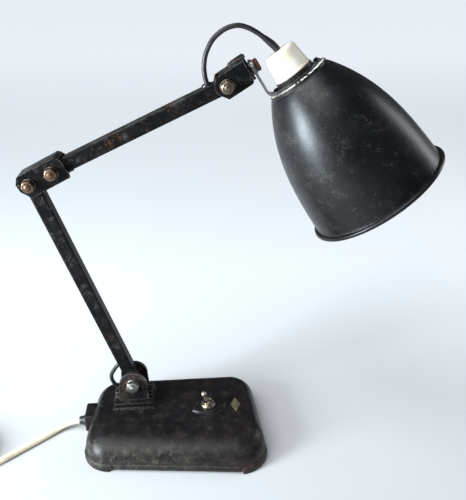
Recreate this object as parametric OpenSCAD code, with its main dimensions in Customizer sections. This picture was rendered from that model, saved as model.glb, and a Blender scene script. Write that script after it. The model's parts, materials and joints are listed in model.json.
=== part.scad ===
// Articulated bench lamp: a cast base with a switch, two square tube arms joined
// by a channel link, a swivelling head and a spun bell shade with a bayonet holder.
// Millimetres, +Z up, origin under the base on the desk. The arms swing
// in a plane parallel to XZ, and the nuts face -Y.

/* [Base] */
// Length of the casting along its front edge
base_len_front = 204; // [176:1:240]
// Length of the casting along its back edge
base_len_back = 195; // [168:1:232]
// Depth of the casting at its left end
base_depth_left = 120; // [104:1:136]
// Depth of the casting at its right end
base_depth_right = 142; // [122:1:166]
// How far further back the left end's middle lies than the right end's
base_back_shift = 11; // [0:1:16]
// Height of the casting's top above the desk
base_h = 34; // [30:1:40]
// Wall thickness of the casting
base_wall = 6; // [4:0.5:8]
// Radius of the upright corners
corner_r = 32; // [26:1:38]
// How far the rounded front falls back
front_shoulder = 34; // [26:1:40]
// How far the rounded ends and back fall back
side_shoulder = 14; // [11:1:18]
// Height of the feet below the skirt
foot_h = 3; // [2:0.5:5]

/* [Pivot bracket] */
// Height of the bottom pivot above the desk
pivot_z = 62.4; // [56:0.2:72]
// Place of the bottom pivot along the base
pivot_x = -47.3; // [-55:0.1:-40]
// Distance of the arms' plane behind the base's middle
arm_y = 29; // [22:1:34]
// Plate thickness of the bracket
bracket_t = 3.5; // [2.5:0.5:4]
// Radius of the bracket's ears
ear_r = 15.5; // [13:0.5:18]

/* [Arms] */
// Side of the square arm tube
arm_w = 14.3; // [12:0.1:17]
// Wall of the arm tube
arm_wall = 1.6; // [1.2:0.1:2]
// Lower arm, pivot to pivot
lower_len = 258; // [215:1:310]
// Upper arm, pivot to pivot
upper_len = 186.5; // [155:0.5:224]
// Distance between the two elbow pivots
link_len = 25.6; // [25:0.2:31]
// Length of tube past each pivot
arm_over = 9; // [8:0.5:10]
// Radius of every pivot bolt
bolt_r = 3.17; // [2.6:0.01:3.6]

/* [Pose] */
// Slope of the lower arm
lower_angle = 108.4; // [95:0.1:120]
// Slope of the elbow link
link_angle = 26.8; // [15:0.1:35]
// Slope of the upper arm
upper_angle = 24.9; // [15:0.1:32]
// Slope of the head knuckle
knuckle_angle = 32; // [20:0.5:40]
// Turn of the shade about the head swivel
swivel_angle = -6.3; // [-20:0.1:20]

/* [Head] */
// Plate thickness of the elbow and knuckle channels
channel_t = 2.5; // [2:0.1:3]
// Thickness of the shade strap
strap_t = 2.5; // [2:0.1:3]
// Distance from the swivel axis down to the strap plate
strap_drop = 28.2; // [26:0.2:34]
// Bend of the strap beyond a right angle
strap_tilt = 5; // [0:0.5:8]

/* [Shade] */
// Radius of the shade's flat top
shade_top_r = 31; // [28:0.5:36]
// Radius of the shade wall at the rim
shade_rim_r = 70; // [62:0.5:82]
// Height of the shade
shade_h = 141; // [120:1:168]
// Thickness of the shade wall
shade_t = 1.1; // [0.8:0.1:1.6]
// Radius of the rolled bead at the rim
bead_r = 2.2; // [1.8:0.1:3]

/* [Lampholder] */
// Radius of the holder at its wide lower end
holder_base_r = 18.6; // [17.5:0.1:22]
// Radius of the holder at its top
holder_top_r = 16.2; // [14:0.1:18]
// Height of the holder body
holder_h = 24.5; // [21:0.5:28]
// Radius of the threaded barrel that passes through strap and shade
barrel_r = 14.2; // [13.8:0.1:15]

/* [Flex] */
// Diameter of the black flex on the arms
flex_d = 4.6; // [4:0.1:5]
// Diameter of the cream mains flex
mains_d = 7; // [6:0.1:7.4]

/* [Hidden] */
$fn = 48;
eps = 0.01;

// Fits
run_clear = 0.08;      // radial clearance of a turning bolt in its bore
slip_clear = 0.05;     // gap between flat faces of two bodies
fit_clear = 0.15;      // clearance of a fixed piece in its seat

// Base levels
skirt_z = foot_h;
ridge_z = skirt_z + 6;
ridge_step = 1.3;
plate_t = 2;
felt_t = skirt_z - 0.5;
seat_z = felt_t + plate_t;
roof_z = base_h - base_wall;
pad_h = 7;
pad_w = 45;
pad_front = 20;
pad_back = 18;
pad_z = base_h + pad_h;
boss_lift = 2.2;
gland_x = -base_len_front / 2 - 3;
gland_y = 17;
gland_z = 14;
cord_r = mains_d / 2;
flex_r = flex_d / 2;

// Bracket and pivot stack, measured from the arms' plane
base_washer_t = 2;
base_gap = arm_w / 2 + base_washer_t + slip_clear;
base_half = base_gap + bracket_t;
bracket_w = 2 * ear_r + 3;
bracket_foot_w = pad_w - 2;
bracket_bolt_dx = 18.7;
bracket_bolt_dy = -3.8;

// Elbow and knuckle stacks
elbow_washer_t = 3;
elbow_gap = arm_w / 2 + elbow_washer_t + slip_clear;
elbow_half = elbow_gap + channel_t;
knuckle_washer_t = 2.2;
knuckle_gap = arm_w / 2 + knuckle_washer_t + slip_clear;
knuckle_half = knuckle_gap + channel_t;
web_n = 12;
web_in = web_n - channel_t;

// Hardware
nut_af = 13.6;
small_nut_af = 11;
nut_t = 5.6;
head_t = 4.4;
plain_washer_t = 1.2;
plain_washer_r = 7.6;
stud_over = 1.8;
hex_k = 2 / sqrt(3);

// Switch
switch_x = 38.5;
switch_y = 5;
bush_r = 5.9;
lever_lean = -19;
lever_len = 15;
lever_pivot_z = base_h + boss_lift + 2.6;

// Swivel stack along the knuckle's length
wall_u = 24;
swivel_wall_t = 2.5;
swivel_washer_t = 1;
strap_u = wall_u + swivel_wall_t + swivel_washer_t;
strap_reach = 30;
strap_w = 16;
strap_tail = 27;
strap_screw_left = -22;
strap_screw_right = 23.4;
hole_u = strap_u + strap_t / 2 + strap_reach;

// Shade levels, measured up from the strap plate's underside
collar_h = 3.2;
gallery_in = 1.2;

// Holder levels, measured up from the strap plate's top
ring_h = 4;
barrel_down = 22;
barrel_wall = 1.5;

// Arm cores
core_r = 1.1;
inner_w = arm_w - 2 * arm_wall;
core_n = inner_w / 2 - core_r - 0.1;
core_over = arm_over - 2;
lower_hole_at = 25;
upper_hole_at = 17.3;
hole_r = flex_r + 1.4;

// Joints between the bodies
P0 = [pivot_x, arm_y, pivot_z];
P1 = P0 + lower_len * along(lower_angle);
P2 = P1 + link_len * along(link_angle);
P3 = P2 + upper_len * along(upper_angle);

function along(a) = [cos(a), 0, sin(a)];
function on_arm(p, a, u, n) = p + u * along(a) + n * along(a + 90);

// Routes
lower_exit = on_arm(P0, lower_angle, lower_hole_at, arm_w / 2 + 0.6);
upper_exit = on_arm(P3, upper_angle, -upper_hole_at, arm_w / 2) + [0, 0, 2];
base_entry = [pivot_x - 15.2, arm_y + 4.2, pad_z + bracket_t];
entry_dir = [1, 0, -1] / sqrt(2);
base_loop = [lower_exit + [3.4, 0, 2.4], lower_exit, lower_exit + [-3.2, 0.2, -3.6], [-69, 29.8, 75],
    [-72.2, 30.6, 69.2], [-73.2, 31.4, 63], [-72.2, 32.2, 57],
    base_entry - 8.5 * entry_dir + [-0.6, -0.2, 0.2], base_entry - 3 * entry_dir, base_entry + 3 * entry_dir];
loop_top = [73, 29, 449.2];
loop_run = [1, 0, 0];
loop_stub = 0.8;
holder_entry = [110.9, 29.03, 427.4];
sleeve_end = holder_entry + [-0.7, 0, 0.8];
head_loop_arm = [upper_exit, [43.1, 29, 405.6], [42.6, 29, 415], [44.7, 29, 425.7], [51.2, 29, 437.6],
    [61.6, 29, 446], loop_top - loop_stub * loop_run, loop_top];
head_loop_holder = [loop_top + slip_clear * loop_run, loop_top + loop_stub * loop_run, [82.4, 29, 447.4],
    [91, 29, 443.2], [97.4, 29, 438.9], [103.4, 29, 434.5], [107.7, 29.02, 430.9], holder_entry,
    [112.7, 28.7, 425]];
coil_at = [-262, -23];
coil_in_r = 28.5;
coil_out_r = 49.5;
mains_route = [[gland_x - 8, gland_y, gland_z], [-118, 17.5, 13.2], [-124, 18, 11.3],
    [-131, 17.8, 8.2], [-138, 15.6, 5.2], [-145, 10.8, 3.9], [-153, 4, 3.5], [-164, -5, 3.5],
    [-178, -16.5, 3.5], [-192, -28, 3.5], [-206, -38.6, 3.5], [-212, -43.1, 3.5]];
plug_at = [-308, 58, 0];
tail_route = [[-308, 5, 10.8], [-308, 12, 11], [-308, 19, 11], [-308, 26, 11], [-308, 33, 11]];

// ---------- shared shapes ----------

module hexagon(af, h) {
    cylinder(r = af / 2 * hex_k, h = h, $fn = 6);
}

// hexagon with both rims turned down
module turned_hex(af, h, both = true) {
    intersection() {
        hexagon(af, h);
        union() {
            translate([0, 0, h / 2]) cylinder(r1 = af / 2 * hex_k + 1.6, r2 = af / 2 - 0.4, h = h / 2);
            if (both) cylinder(r1 = af / 2 - 0.4, r2 = af / 2 * hex_k + 1.6, h = h / 2);
            else cylinder(r = af / 2 * hex_k + 1.6, h = h / 2);
        }
    }
}

module ring(r_out, r_in, h) {
    difference() {
        cylinder(r = r_out, h = h);
        translate([0, 0, -1]) cylinder(r = r_in, h = h + 2);
    }
}

// points down the -Y side of a pivot, z = 0 in the arms' plane
module facing_front() {
    rotate([90, 0, 0]) children();
}

module bore_y(r, half) {
    rotate([90, 0, 0]) translate([0, 0, -half]) cylinder(r = r, h = 2 * half);
}

module at_joint(p, a) {
    translate(p) rotate([0, -a, 0]) children();
}

// bolt along Y: head behind, plain end in front
module pivot_bolt(half, front_stack, af) {
    front = half + front_stack + nut_t + stud_over;
    facing_front() {
        translate([0, 0, -half - plain_washer_t]) cylinder(r = bolt_r, h = front + half + plain_washer_t - 1);
        translate([0, 0, front - 1]) cylinder(r1 = bolt_r, r2 = bolt_r - 1, h = 1);
        translate([0, 0, -half - plain_washer_t - head_t]) turned_hex(af, head_t);
    }
}

module pivot_nut(half, front_stack, af) {
    facing_front() translate([0, 0, half + front_stack]) difference() {
        turned_hex(af, nut_t);
        translate([0, 0, -1]) cylinder(r = bolt_r + eps, h = nut_t + 2);
    }
}

module friction_pair(gap, t) {
    for (s = [-1, 1])
        translate([0, s * (gap - t / 2), 0]) rotate([90, 0, 0]) translate([0, 0, -t / 2])
            ring(plain_washer_r - 1, bolt_r + 0.1, t);
}

// square tube with softened edges along X, its ends rounded about pivots at 0 and reach
module arm_tube(reach) {
    r = 1.4;
    k = arm_w / 2 - r;
    full = reach + 2 * arm_over;
    intersection() {
        difference() {
            translate([-arm_over, 0, 0]) union() {
                translate([0, -k, -arm_w / 2]) cube([full, 2 * k, arm_w]);
                translate([0, -arm_w / 2, -k]) cube([full, arm_w, 2 * k]);
                for (sy = [-1, 1], sz = [-1, 1])
                    translate([0, sy * k, sz * k]) rotate([0, 90, 0]) cylinder(r = r, h = full);
            }
            translate([-arm_over - 1, -inner_w / 2, -inner_w / 2]) cube([full + 2, inner_w, inner_w]);
        }
        union() {
            translate([0, -arm_w, -arm_w]) cube([reach, 2 * arm_w, 2 * arm_w]);
            bore_y(arm_over, arm_w);
            translate([reach, 0, 0]) bore_y(arm_over, arm_w);
        }
    }
}

// two insulated cores lying side by side against the tube's inner wall
module core_pair(u0, u1, n) {
    for (s = [-1, 1])
        translate([u0, s * (core_r + 0.2), n]) rotate([0, 90, 0]) cylinder(r = core_r, h = u1 - u0);
}

// ---------- swept tube ----------

function unit(v) = v / norm(v);
function cut_dir(p, i) = unit(p[min(i + 1, len(p) - 1)] - p[max(i - 1, 0)]);
function side_of(t) = abs(t[2]) > 0.9 ? unit(cross([0, 1, 0], t)) : unit(cross([0, 0, 1], t));
function carry(u, t) = unit(u - (u * t) * t);
function sides_along(p) = [for (i = 0, u = side_of(cut_dir(p, 0)); i < len(p);
    i = i + 1, u = i < len(p) ? carry(u, cut_dir(p, i)) : u) u];
// point on a smooth curve between p[i] and p[i + 1]
function smooth_at(p, i, t) =
    let (a = p[max(i - 1, 0)], b = p[i], c = p[i + 1], d = p[min(i + 2, len(p) - 1)])
    0.5 * (2 * b + (c - a) * t + (2 * a - 5 * b + 4 * c - d) * t * t
        + (3 * b - 3 * c + d - a) * t * t * t);
function smoothed(p, n) = concat([for (i = [0 : len(p) - 2], k = [0 : n - 1]) smooth_at(p, i, k / n)],
    [p[len(p) - 1]]);

module swept_tube(path, r, sides) {
    u = sides_along(path);
    rings = [for (i = [0 : len(path) - 1])
        let (t = cut_dir(path, i), v = cross(t, u[i]))
        [for (k = [0 : sides - 1])
            path[i] + r * (cos(360 * k / sides) * u[i] + sin(360 * k / sides) * v)]];
    last = (len(path) - 1) * sides;
    polyhedron(
        points = [for (ring_points = rings) for (point = ring_points) point],
        faces = concat(
            [[for (k = [0 : sides - 1]) k]],
            [for (i = [0 : len(path) - 2], k = [0 : sides - 1])
                [i * sides + k, (i + 1) * sides + k, (i + 1) * sides + (k + 1) % sides,
                    i * sides + (k + 1) % sides]],
            [[for (k = [sides - 1 : -1 : 0]) last + k]]));
}

// ---------- base ----------

function half_depth(x) = (base_depth_left + base_depth_right) / 4
    + (base_depth_right - base_depth_left) / 2 * x / base_len_front;
function half_len(y) = (base_len_front + base_len_back) / 4
    - (base_len_front - base_len_back) / 4 * y / half_depth(0);

function mid_depth(x) = base_back_shift / 2 * (1 - 2 * x / base_len_front);

// centres of the four corner arcs of an outline drawn in by the given amounts
function corner(sx, sy, side_in, front_in, r) =
    let (y_in = sy < 0 ? front_in : side_in,
        x0 = half_len(sy * half_depth(0)) - side_in - r,
        y0 = half_depth(sx * x0) - y_in - r)
    [sx * x0, sy * y0 + mid_depth(sx * x0)];

module outline_slab(side_in, front_in, r, z, h) {
    for (sx = [-1, 1], sy = [-1, 1])
        translate(concat(corner(sx, sy, side_in, front_in, r), z)) cylinder(r = r, h = h);
}

module domed_block(side_in, front_in, z0, z1, steps) {
    hull() {
        outline_slab(side_in, front_in, corner_r - side_in, z0, 0.1, $fn = 32);
        for (k = [0 : steps]) {
            t = 90 * k / steps;
            run = 1 - cos(t);
            outline_slab(side_in + side_shoulder * run, front_in + front_shoulder * run,
                corner_r - side_in - side_shoulder * run,
                ridge_z + 1 + (z1 - ridge_z - 1) * sin(t) - 0.1, 0.1, $fn = 32);
        }
    }
}

post_places = [[-76, -26], [-77, 33], [76, -36], [76, 36]];
post_r = 5;

module switch_boss() {
    half_long = 21.5;
    half_wide = 12.8;
    r = (half_long * half_long + half_wide * half_wide) / (2 * half_wide);
    translate([switch_x + 2.5, switch_y + 1.5, base_h - 8]) rotate([0, 0, 20]) intersection() {
        translate([0, r - half_wide, 0]) cylinder(r = r, h = 8 + boss_lift, $fn = 96);
        translate([0, half_wide - r, 0]) cylinder(r = r, h = 8 + boss_lift, $fn = 96);
    }
}

module cord_boss() {
    translate([gland_x, gland_y - 13, ridge_z - 2]) cube([14, 26, 22]);
}

module bracket_pad() {
    translate([pivot_x - pad_w / 2, arm_y - pad_front, base_h - 6])
        cube([pad_w, pad_front + pad_back, pad_h + 6]);
}

module base_casting() {
    color([0.13, 0.12, 0.12]) difference() {
        union() {
            domed_block(ridge_step, ridge_step, skirt_z + 1, base_h, 6);
            hull() outline_slab(0, 0, corner_r, skirt_z, ridge_z - skirt_z, $fn = 32);
            for (sx = [-1, 1], sy = [-1, 1])
                translate(corner(sx, sy, 0, 0, corner_r)) cylinder(r = corner_r + 0.8, h = ridge_z - 1);
            bracket_pad();
            switch_boss();
            cord_boss();
        }
        difference() {
            union() {
                domed_block(base_wall, base_wall, -1, base_h - base_wall, 3);
                for (sx = [-1, 1], sy = [-1, 1])
                    translate(concat(corner(sx, sy, base_wall, base_wall, corner_r - base_wall), -2))
                        cylinder(r = corner_r - base_wall, h = 6);
            }
            for (p = post_places)
                translate([p[0], p[1], seat_z]) cylinder(r = post_r, h = base_h);
        }
        for (p = post_places)
            translate([p[0], p[1], seat_z - 1]) cylinder(r = 1.7, h = 13);
        translate([switch_x, switch_y, roof_z - 8]) cylinder(r = bush_r + fit_clear, h = 30);
        for (s = [-1, 1])
            translate([pivot_x + s * bracket_bolt_dx, arm_y + bracket_bolt_dy, base_h - 9])
                cylinder(r = 2.6, h = 30);
        entry_bore(flex_r + 1.2, 32);
        translate([gland_x - 1, gland_y, gland_z]) rotate([0, 90, 0])
            cylinder(r = cord_r + 1.5 + fit_clear, h = 30);
        for (s = [-1, 1])
            translate([clamp_x, gland_y + s * clamp_half, roof_z - 1])
                cylinder(r = clamp_screw_r + eps, h = thread_in + 1);
        translate([earth_at[0], earth_at[1], roof_z - 1]) cylinder(r = earth_r + eps, h = thread_in + 1);
    }
}

module plate_outline(inset, z, h) {
    hull() outline_slab(inset, inset, corner_r - inset, z, h, $fn = 32);
}

module bottom_plate() {
    color([0.35, 0.35, 0.36]) difference() {
        plate_outline(base_wall + 0.3, felt_t, plate_t);
        for (p = post_places)
            translate([p[0], p[1], -1]) cylinder(r = 2, h = 20);
    }
}

module felt_pad() {
    color([0.16, 0.25, 0.18]) difference() {
        plate_outline(base_wall + 5, 0, felt_t);
        for (p = post_places)
            translate([p[0], p[1], -1]) cylinder(r = 5, h = 20);
    }
}

module bottom_plate_screws() {
    color("silver") for (p = post_places) translate([p[0], p[1], 0.6]) difference() {
        union() {
            cylinder(r1 = 2.8, r2 = 3.4, h = felt_t - 0.6);
            cylinder(r = 1.6, h = felt_t + plate_t + 8);
        }
        translate([-4, -0.5, -1]) cube([8, 1, 1.8]);
    }
}

module lozenge_plate() {
    half_x = 5.6;
    half_y = 12.5;
    color([0.42, 0.37, 0.30]) translate([70.5, 6.4, base_h]) {
        linear_extrude(0.8) polygon([[half_x, 0], [0, half_y], [-half_x, 0], [0, -half_y]]);
        for (s = [-1, 1])
            translate([0, s * (half_y - 4), 0]) cylinder(r1 = 1, r2 = 0.6, h = 1.3);
    }
}

module base_bracket() {
    color([0.05, 0.05, 0.06]) difference() {
        union() {
            for (s = [-1, 1])
                translate([pivot_x, arm_y + s * (base_gap + bracket_t / 2), 0]) {
                    translate([0, 0, pivot_z]) rotate([90, 0, 0]) translate([0, 0, -bracket_t / 2])
                        cylinder(r = ear_r, h = bracket_t);
                    rotate([90, 0, 0]) translate([0, 0, -bracket_t / 2]) linear_extrude(bracket_t)
                        polygon([[-ear_r, pivot_z], [-bracket_w / 2, pad_z], [bracket_w / 2, pad_z],
                            [ear_r, pivot_z]]);
                }
            translate([pivot_x - bracket_foot_w / 2, arm_y - base_gap - eps, pad_z])
                cube([bracket_foot_w, 2 * base_gap + 2 * eps, bracket_t]);
        }
        translate(P0) bore_y(bolt_r + fit_clear, base_half + 5);
        for (s = [-1, 1])
            translate([pivot_x + s * bracket_bolt_dx, arm_y + bracket_bolt_dy, pad_z - 1])
                cylinder(r = 2.6, h = bracket_t + 2);
        entry_bore(flex_r + 1.2, 24);
    }
}

module bracket_bolts() {
    color([0.08, 0.08, 0.08]) for (s = [-1, 1])
        translate([pivot_x + s * bracket_bolt_dx, arm_y + bracket_bolt_dy, 0]) {
            translate([0, 0, pad_z + bracket_t]) turned_hex(7.4, 3.6);
            translate([0, 0, roof_z - 6]) cylinder(r = 2.4, h = pad_h + bracket_t + base_wall + 6);
            translate([0, 0, roof_z - 4]) turned_hex(8, 4 - eps);
        }
}

module base_pivot_bolt() {
    color("silver") translate(P0) pivot_bolt(base_half, plain_washer_t, nut_af);
}

module base_pivot_nut() {
    color("silver") translate(P0) {
        pivot_nut(base_half, plain_washer_t, nut_af);
        facing_front() {
            translate([0, 0, base_half]) ring(nut_af / 2 + 0.6, bolt_r + 0.1, plain_washer_t);
            translate([0, 0, -base_half - plain_washer_t])
                ring(nut_af / 2 + 0.6, bolt_r + 0.1, plain_washer_t);
        }
    }
}

module base_friction_washers() {
    color([0.45, 0.3, 0.2]) translate(P0) friction_pair(base_gap, base_washer_t);
}

// ---------- switch ----------

module switch_body() {
    color([0.2, 0.12, 0.08]) translate([switch_x, switch_y, roof_z - 4.5]) difference() {
        translate([-13, -7.5, -13]) cube([26, 15, 13]);
        for (s = [-1, 1])
            translate([s * 9, 0, -14]) cylinder(r = 1.3, h = 5);
    }
}

module switch_bush() {
    color([0.7, 0.62, 0.45]) translate([switch_x, switch_y, 0]) difference() {
        translate([0, 0, roof_z - 4.5]) cylinder(r = bush_r, h = base_wall + 4.5 + boss_lift + 6.3);
        translate([0, 0, roof_z - 5]) cylinder(r = 3.9, h = 5);
        translate([0, 0, roof_z - 1]) cylinder(r1 = 3.9, r2 = 4.9, h = 16);
    }
}

module switch_ring_nut() {
    color([0.75, 0.68, 0.5]) translate([switch_x, switch_y, base_h + boss_lift]) difference() {
        union() {
            cylinder(r = 8.4, h = 2.4);
            translate([0, 0, 2.4]) cylinder(r1 = 8.4, r2 = 7.4, h = 1.2);
        }
        translate([0, 0, -1]) cylinder(r = bush_r + eps, h = 6);
        for (k = [0 : 23])
            rotate([0, 0, 15 * k]) translate([8.6, 0, -1]) cylinder(r = 0.45, h = 3.6, $fn = 16);
    }
}

module toggle_lever() {
    color([0.82, 0.78, 0.68]) translate([switch_x, switch_y, lever_pivot_z]) rotate([0, lever_lean, 0]) {
        sphere(r = 2.7);
        cylinder(r1 = 1.5, r2 = 1.9, h = lever_len - 1);
        translate([0, 0, lever_len]) sphere(r = 3);
        translate([0, 0, -6]) cylinder(r1 = 1.1, r2 = 1.6, h = 6);
    }
}

// ---------- wiring inside the base ----------

clamp_x = -74;
clamp_half = 6.5;
clamp_screw_r = 1.6;
clamp_z = gland_z - cord_r - 2.2;
block_x = -4;
block_y = 28;
earth_at = [18, 36];
earth_r = 1.9;
thread_in = 4;

module terminal_block() {
    color([0.85, 0.82, 0.74]) translate([block_x, block_y, roof_z - 12]) difference() {
        translate([-17, -8, 0]) cube([34, 16, 12 - slip_clear]);
        for (k = [-1 : 1]) {
            translate([11 * k, 0, -1]) cylinder(r = 2.2, h = 7);
            translate([11 * k, -9, 5]) rotate([-90, 0, 0]) cylinder(r = 1.6, h = 18);
        }
    }
}

module cord_clamp() {
    color([0.6, 0.55, 0.4]) difference() {
        translate([clamp_x - 4, gland_y - clamp_half - 3, clamp_z]) cube([8, 2 * clamp_half + 6, 2.2]);
        for (s = [-1, 1])
            translate([clamp_x, gland_y + clamp_half * s, 0]) cylinder(r = clamp_screw_r + fit_clear, h = 20);
    }
}

module clamp_screws() {
    color("silver") for (s = [-1, 1])
        translate([clamp_x, gland_y + clamp_half * s, clamp_z]) {
            cylinder(r = clamp_screw_r, h = roof_z - clamp_z + thread_in - 0.5);
            translate([0, 0, -2]) cylinder(r1 = 2.2, r2 = 3, h = 2);
        }
}

module earth_screw() {
    color([0.7, 0.6, 0.35]) translate([earth_at[0], earth_at[1], 0]) {
        translate([0, 0, roof_z - 5]) cylinder(r = earth_r, h = 5 + thread_in - 0.5);
        translate([0, 0, roof_z - 7]) cylinder(r = 3.4, h = 2);
        translate([0, 0, roof_z - 5]) ring(4, earth_r + eps, 0.8);
    }
}

lead_z = roof_z - 7;
sheath_route = [[gland_x + 8, gland_y, gland_z], [clamp_x, gland_y, gland_z], [-60, 16.6, 14.6],
    [-44, 15.4, 16.4], [-30, 14.6, 18.4], [-19, 14.5, 19.6], [-10, 15, 20]];
switch_lead_route = [[7, 19.4, lead_z], [7.4, 16.8, lead_z - 0.6], [9.5, 13, 17.5], [14, 10, 12.5],
    [19.5, 7.6, 9.2], [25, 6, 8.2], [29, 5.2, 8.4]];

module base_leads() {
    color([0.3, 0.3, 0.3]) {
        swept_tube(smoothed(sheath_route, 3), cord_r - 1.2, 8);
        swept_tube(smoothed(switch_lead_route, 3), core_r + 0.1, 8);
    }
}

module cord_gland() {
    color([0.08, 0.08, 0.08]) translate([gland_x, gland_y, gland_z]) rotate([0, -90, 0]) difference() {
        union() {
            translate([0, 0, -12]) cylinder(r = cord_r + 1.5, h = 12);
            cylinder(r = cord_r + 3.6, h = 2);
            translate([0, 0, 2]) cylinder(r1 = cord_r + 2.2, r2 = cord_r + 1, h = 6);
        }
        translate([0, 0, -13]) cylinder(r = cord_r, h = 30);
    }
}

// slanting cylinder along the flex's way in through bracket and casting
module entry_bore(r, h) {
    translate(base_entry) rotate([0, 135, 0]) translate([0, 0, -6]) cylinder(r = r, h = h);
}

module base_grommet() {
    color([0.1, 0.1, 0.1]) difference() {
        entry_bore(flex_r + 1.1, 10);
        entry_bore(flex_r + 2 * fit_clear, 11);
    }
}

module base_flex_loop() {
    color([0.05, 0.05, 0.05]) swept_tube(smoothed(base_loop, 4), flex_r, 10);
}

// ---------- lower arm ----------

module lower_arm_tube() {
    color([0.09, 0.09, 0.1]) at_joint(P0, lower_angle) difference() {
        arm_tube(lower_len);
        bore_y(bolt_r + run_clear, arm_w);
        translate([lower_len, 0, 0]) bore_y(bolt_r + run_clear, arm_w);
        translate([lower_hole_at, 0, 0]) cylinder(r = hole_r, h = arm_w);
    }
}

module lower_arm_cores() {
    color([0.5, 0.1, 0.08]) at_joint(P0, lower_angle)
        core_pair(lower_hole_at + 5, lower_len + core_over, -core_n);
}

// ---------- elbow ----------

link_right = link_len + 14;
link_left = -11;

module channel_plate(points, half, t) {
    for (s = [-1, 1])
        translate([0, s * (half - t / 2) + t / 2, 0]) rotate([90, 0, 0]) linear_extrude(t) polygon(points);
}

module elbow_channel() {
    color([0.07, 0.07, 0.08]) at_joint(P1, link_angle) difference() {
        union() {
            channel_plate([[link_left, -2], [-5, -12], [link_right - 1, -12], [link_right, -9],
                [link_right, 6.5], [link_right - 4.7, web_n - eps], [-6, web_n - eps], [link_left, 6]],
                elbow_half, channel_t);
            rotate([90, 0, 0]) translate([0, 0, -elbow_half]) linear_extrude(2 * elbow_half)
                polygon([[-7, web_in], [-6, web_n], [link_right - 4.5, web_n], [link_right - 0.8, 8.5],
                    [link_right - 2.4, 7.4], [link_right - 5.4, web_in]]);
        }
        bore_y(bolt_r + fit_clear, elbow_half + 5);
        translate([link_len, 0, 0]) bore_y(bolt_r + fit_clear, elbow_half + 5);
    }
}

module at_elbow_bolts() {
    for (u = [0, link_len])
        at_joint(P1, link_angle) translate([u, 0, 0]) children();
}

module elbow_bolts() {
    color([0.45, 0.32, 0.22]) at_elbow_bolts() pivot_bolt(elbow_half, plain_washer_t, small_nut_af);
}

module elbow_nuts() {
    color([0.45, 0.32, 0.22]) at_elbow_bolts() pivot_nut(elbow_half, plain_washer_t, small_nut_af);
}

module elbow_washers() {
    color([0.4, 0.3, 0.22]) at_elbow_bolts() facing_front() {
        translate([0, 0, elbow_half]) ring(plain_washer_r, bolt_r + 0.1, plain_washer_t);
        translate([0, 0, -elbow_half - plain_washer_t]) ring(plain_washer_r, bolt_r + 0.1, plain_washer_t);
    }
}

module elbow_friction_washers() {
    color([0.45, 0.3, 0.2]) at_elbow_bolts() friction_pair(elbow_gap, elbow_washer_t);
}

module elbow_cores() {
    start = on_arm(P1, lower_angle, arm_over - 0.9, -core_n);
    finish = on_arm(P2, upper_angle, 0.9 - arm_over, core_n);
    mid = on_arm(P1, link_angle, link_len / 2 - 1, web_in - 2.6);
    color([0.5, 0.1, 0.08]) for (s = [-1, 1])
        translate([0, s * (core_r + 0.2), 0])
            swept_tube(smoothed([start, (start + mid) / 2 + [-1, 0, 1], mid, (mid + finish) / 2 + [0, 0, 0.6],
                finish], 3), core_r, 8);
}

// ---------- upper arm ----------

module upper_arm_tube() {
    color([0.09, 0.09, 0.1]) at_joint(P2, upper_angle) difference() {
        arm_tube(upper_len);
        bore_y(bolt_r + run_clear, arm_w);
        translate([upper_len, 0, 0]) bore_y(bolt_r + run_clear, arm_w);
        translate([upper_len - upper_hole_at, 0, arm_w / 2]) rotate([0, upper_angle, 0])
            translate([0, 0, -arm_wall - 3]) cylinder(r = hole_r, h = arm_w);
    }
}

module upper_arm_cores() {
    color([0.5, 0.1, 0.08]) at_joint(P2, upper_angle)
        core_pair(-core_over, upper_len - upper_hole_at - 5, core_n);
}

module arm_grommet() {
    color([0.1, 0.1, 0.1]) at_joint(P2, upper_angle) translate([upper_len - upper_hole_at, 0, arm_w / 2])
        rotate([0, upper_angle, 0]) difference() {
            intersection() {
                translate([0, 0, -5]) cylinder(r = flex_r + 2.6, h = 8);
                rotate([0, -upper_angle, 0]) translate([-10, -10, 0]) cube([20, 20, 2]);
            }
            translate([0, 0, -10]) cylinder(r = flex_r, h = 20);
        }
}

module head_flex_arm() {
    inner_end = upper_exit - [0, 0, 8];
    color([0.05, 0.05, 0.05]) swept_tube(smoothed(concat([inner_end], head_loop_arm), 3), flex_r, 10);
}

module head_flex_holder() {
    color([0.05, 0.05, 0.05]) swept_tube(smoothed(head_loop_holder, 3), flex_r, 10);
}

module head_flex_sleeve() {
    color([0.08, 0.08, 0.08]) difference() {
        swept_tube(smoothed(concat([for (k = [4 : 6]) head_loop_holder[k]], [sleeve_end]), 4), flex_r + 0.9, 12);
        swept_tube(smoothed([for (k = [3 : 8]) head_loop_holder[k]], 3), flex_r + slip_clear, 10);
    }
}

// ---------- knuckle ----------

knuckle_left = -11;
web_from = -1;

module at_knuckle() {
    at_joint(P3, knuckle_angle) children();
}

module knuckle_channel() {
    lower_r = 4;
    color([0.07, 0.07, 0.08]) at_knuckle() difference() {
        union() {
            channel_plate([[knuckle_left, -2], [-4.5, -11], [wall_u - lower_r, -11],
                for (k = [1 : 5])
                    [wall_u - lower_r + lower_r * sin(18 * k), -11 + lower_r - lower_r * cos(18 * k)],
                [wall_u, web_n - eps], [-5, web_n - eps], [knuckle_left, 5]],
                knuckle_half, channel_t);
            translate([web_from, -knuckle_half, web_in])
                cube([wall_u - web_from, 2 * knuckle_half, channel_t]);
        }
        bore_y(bolt_r + fit_clear, knuckle_half + 5);
    }
}

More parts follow.
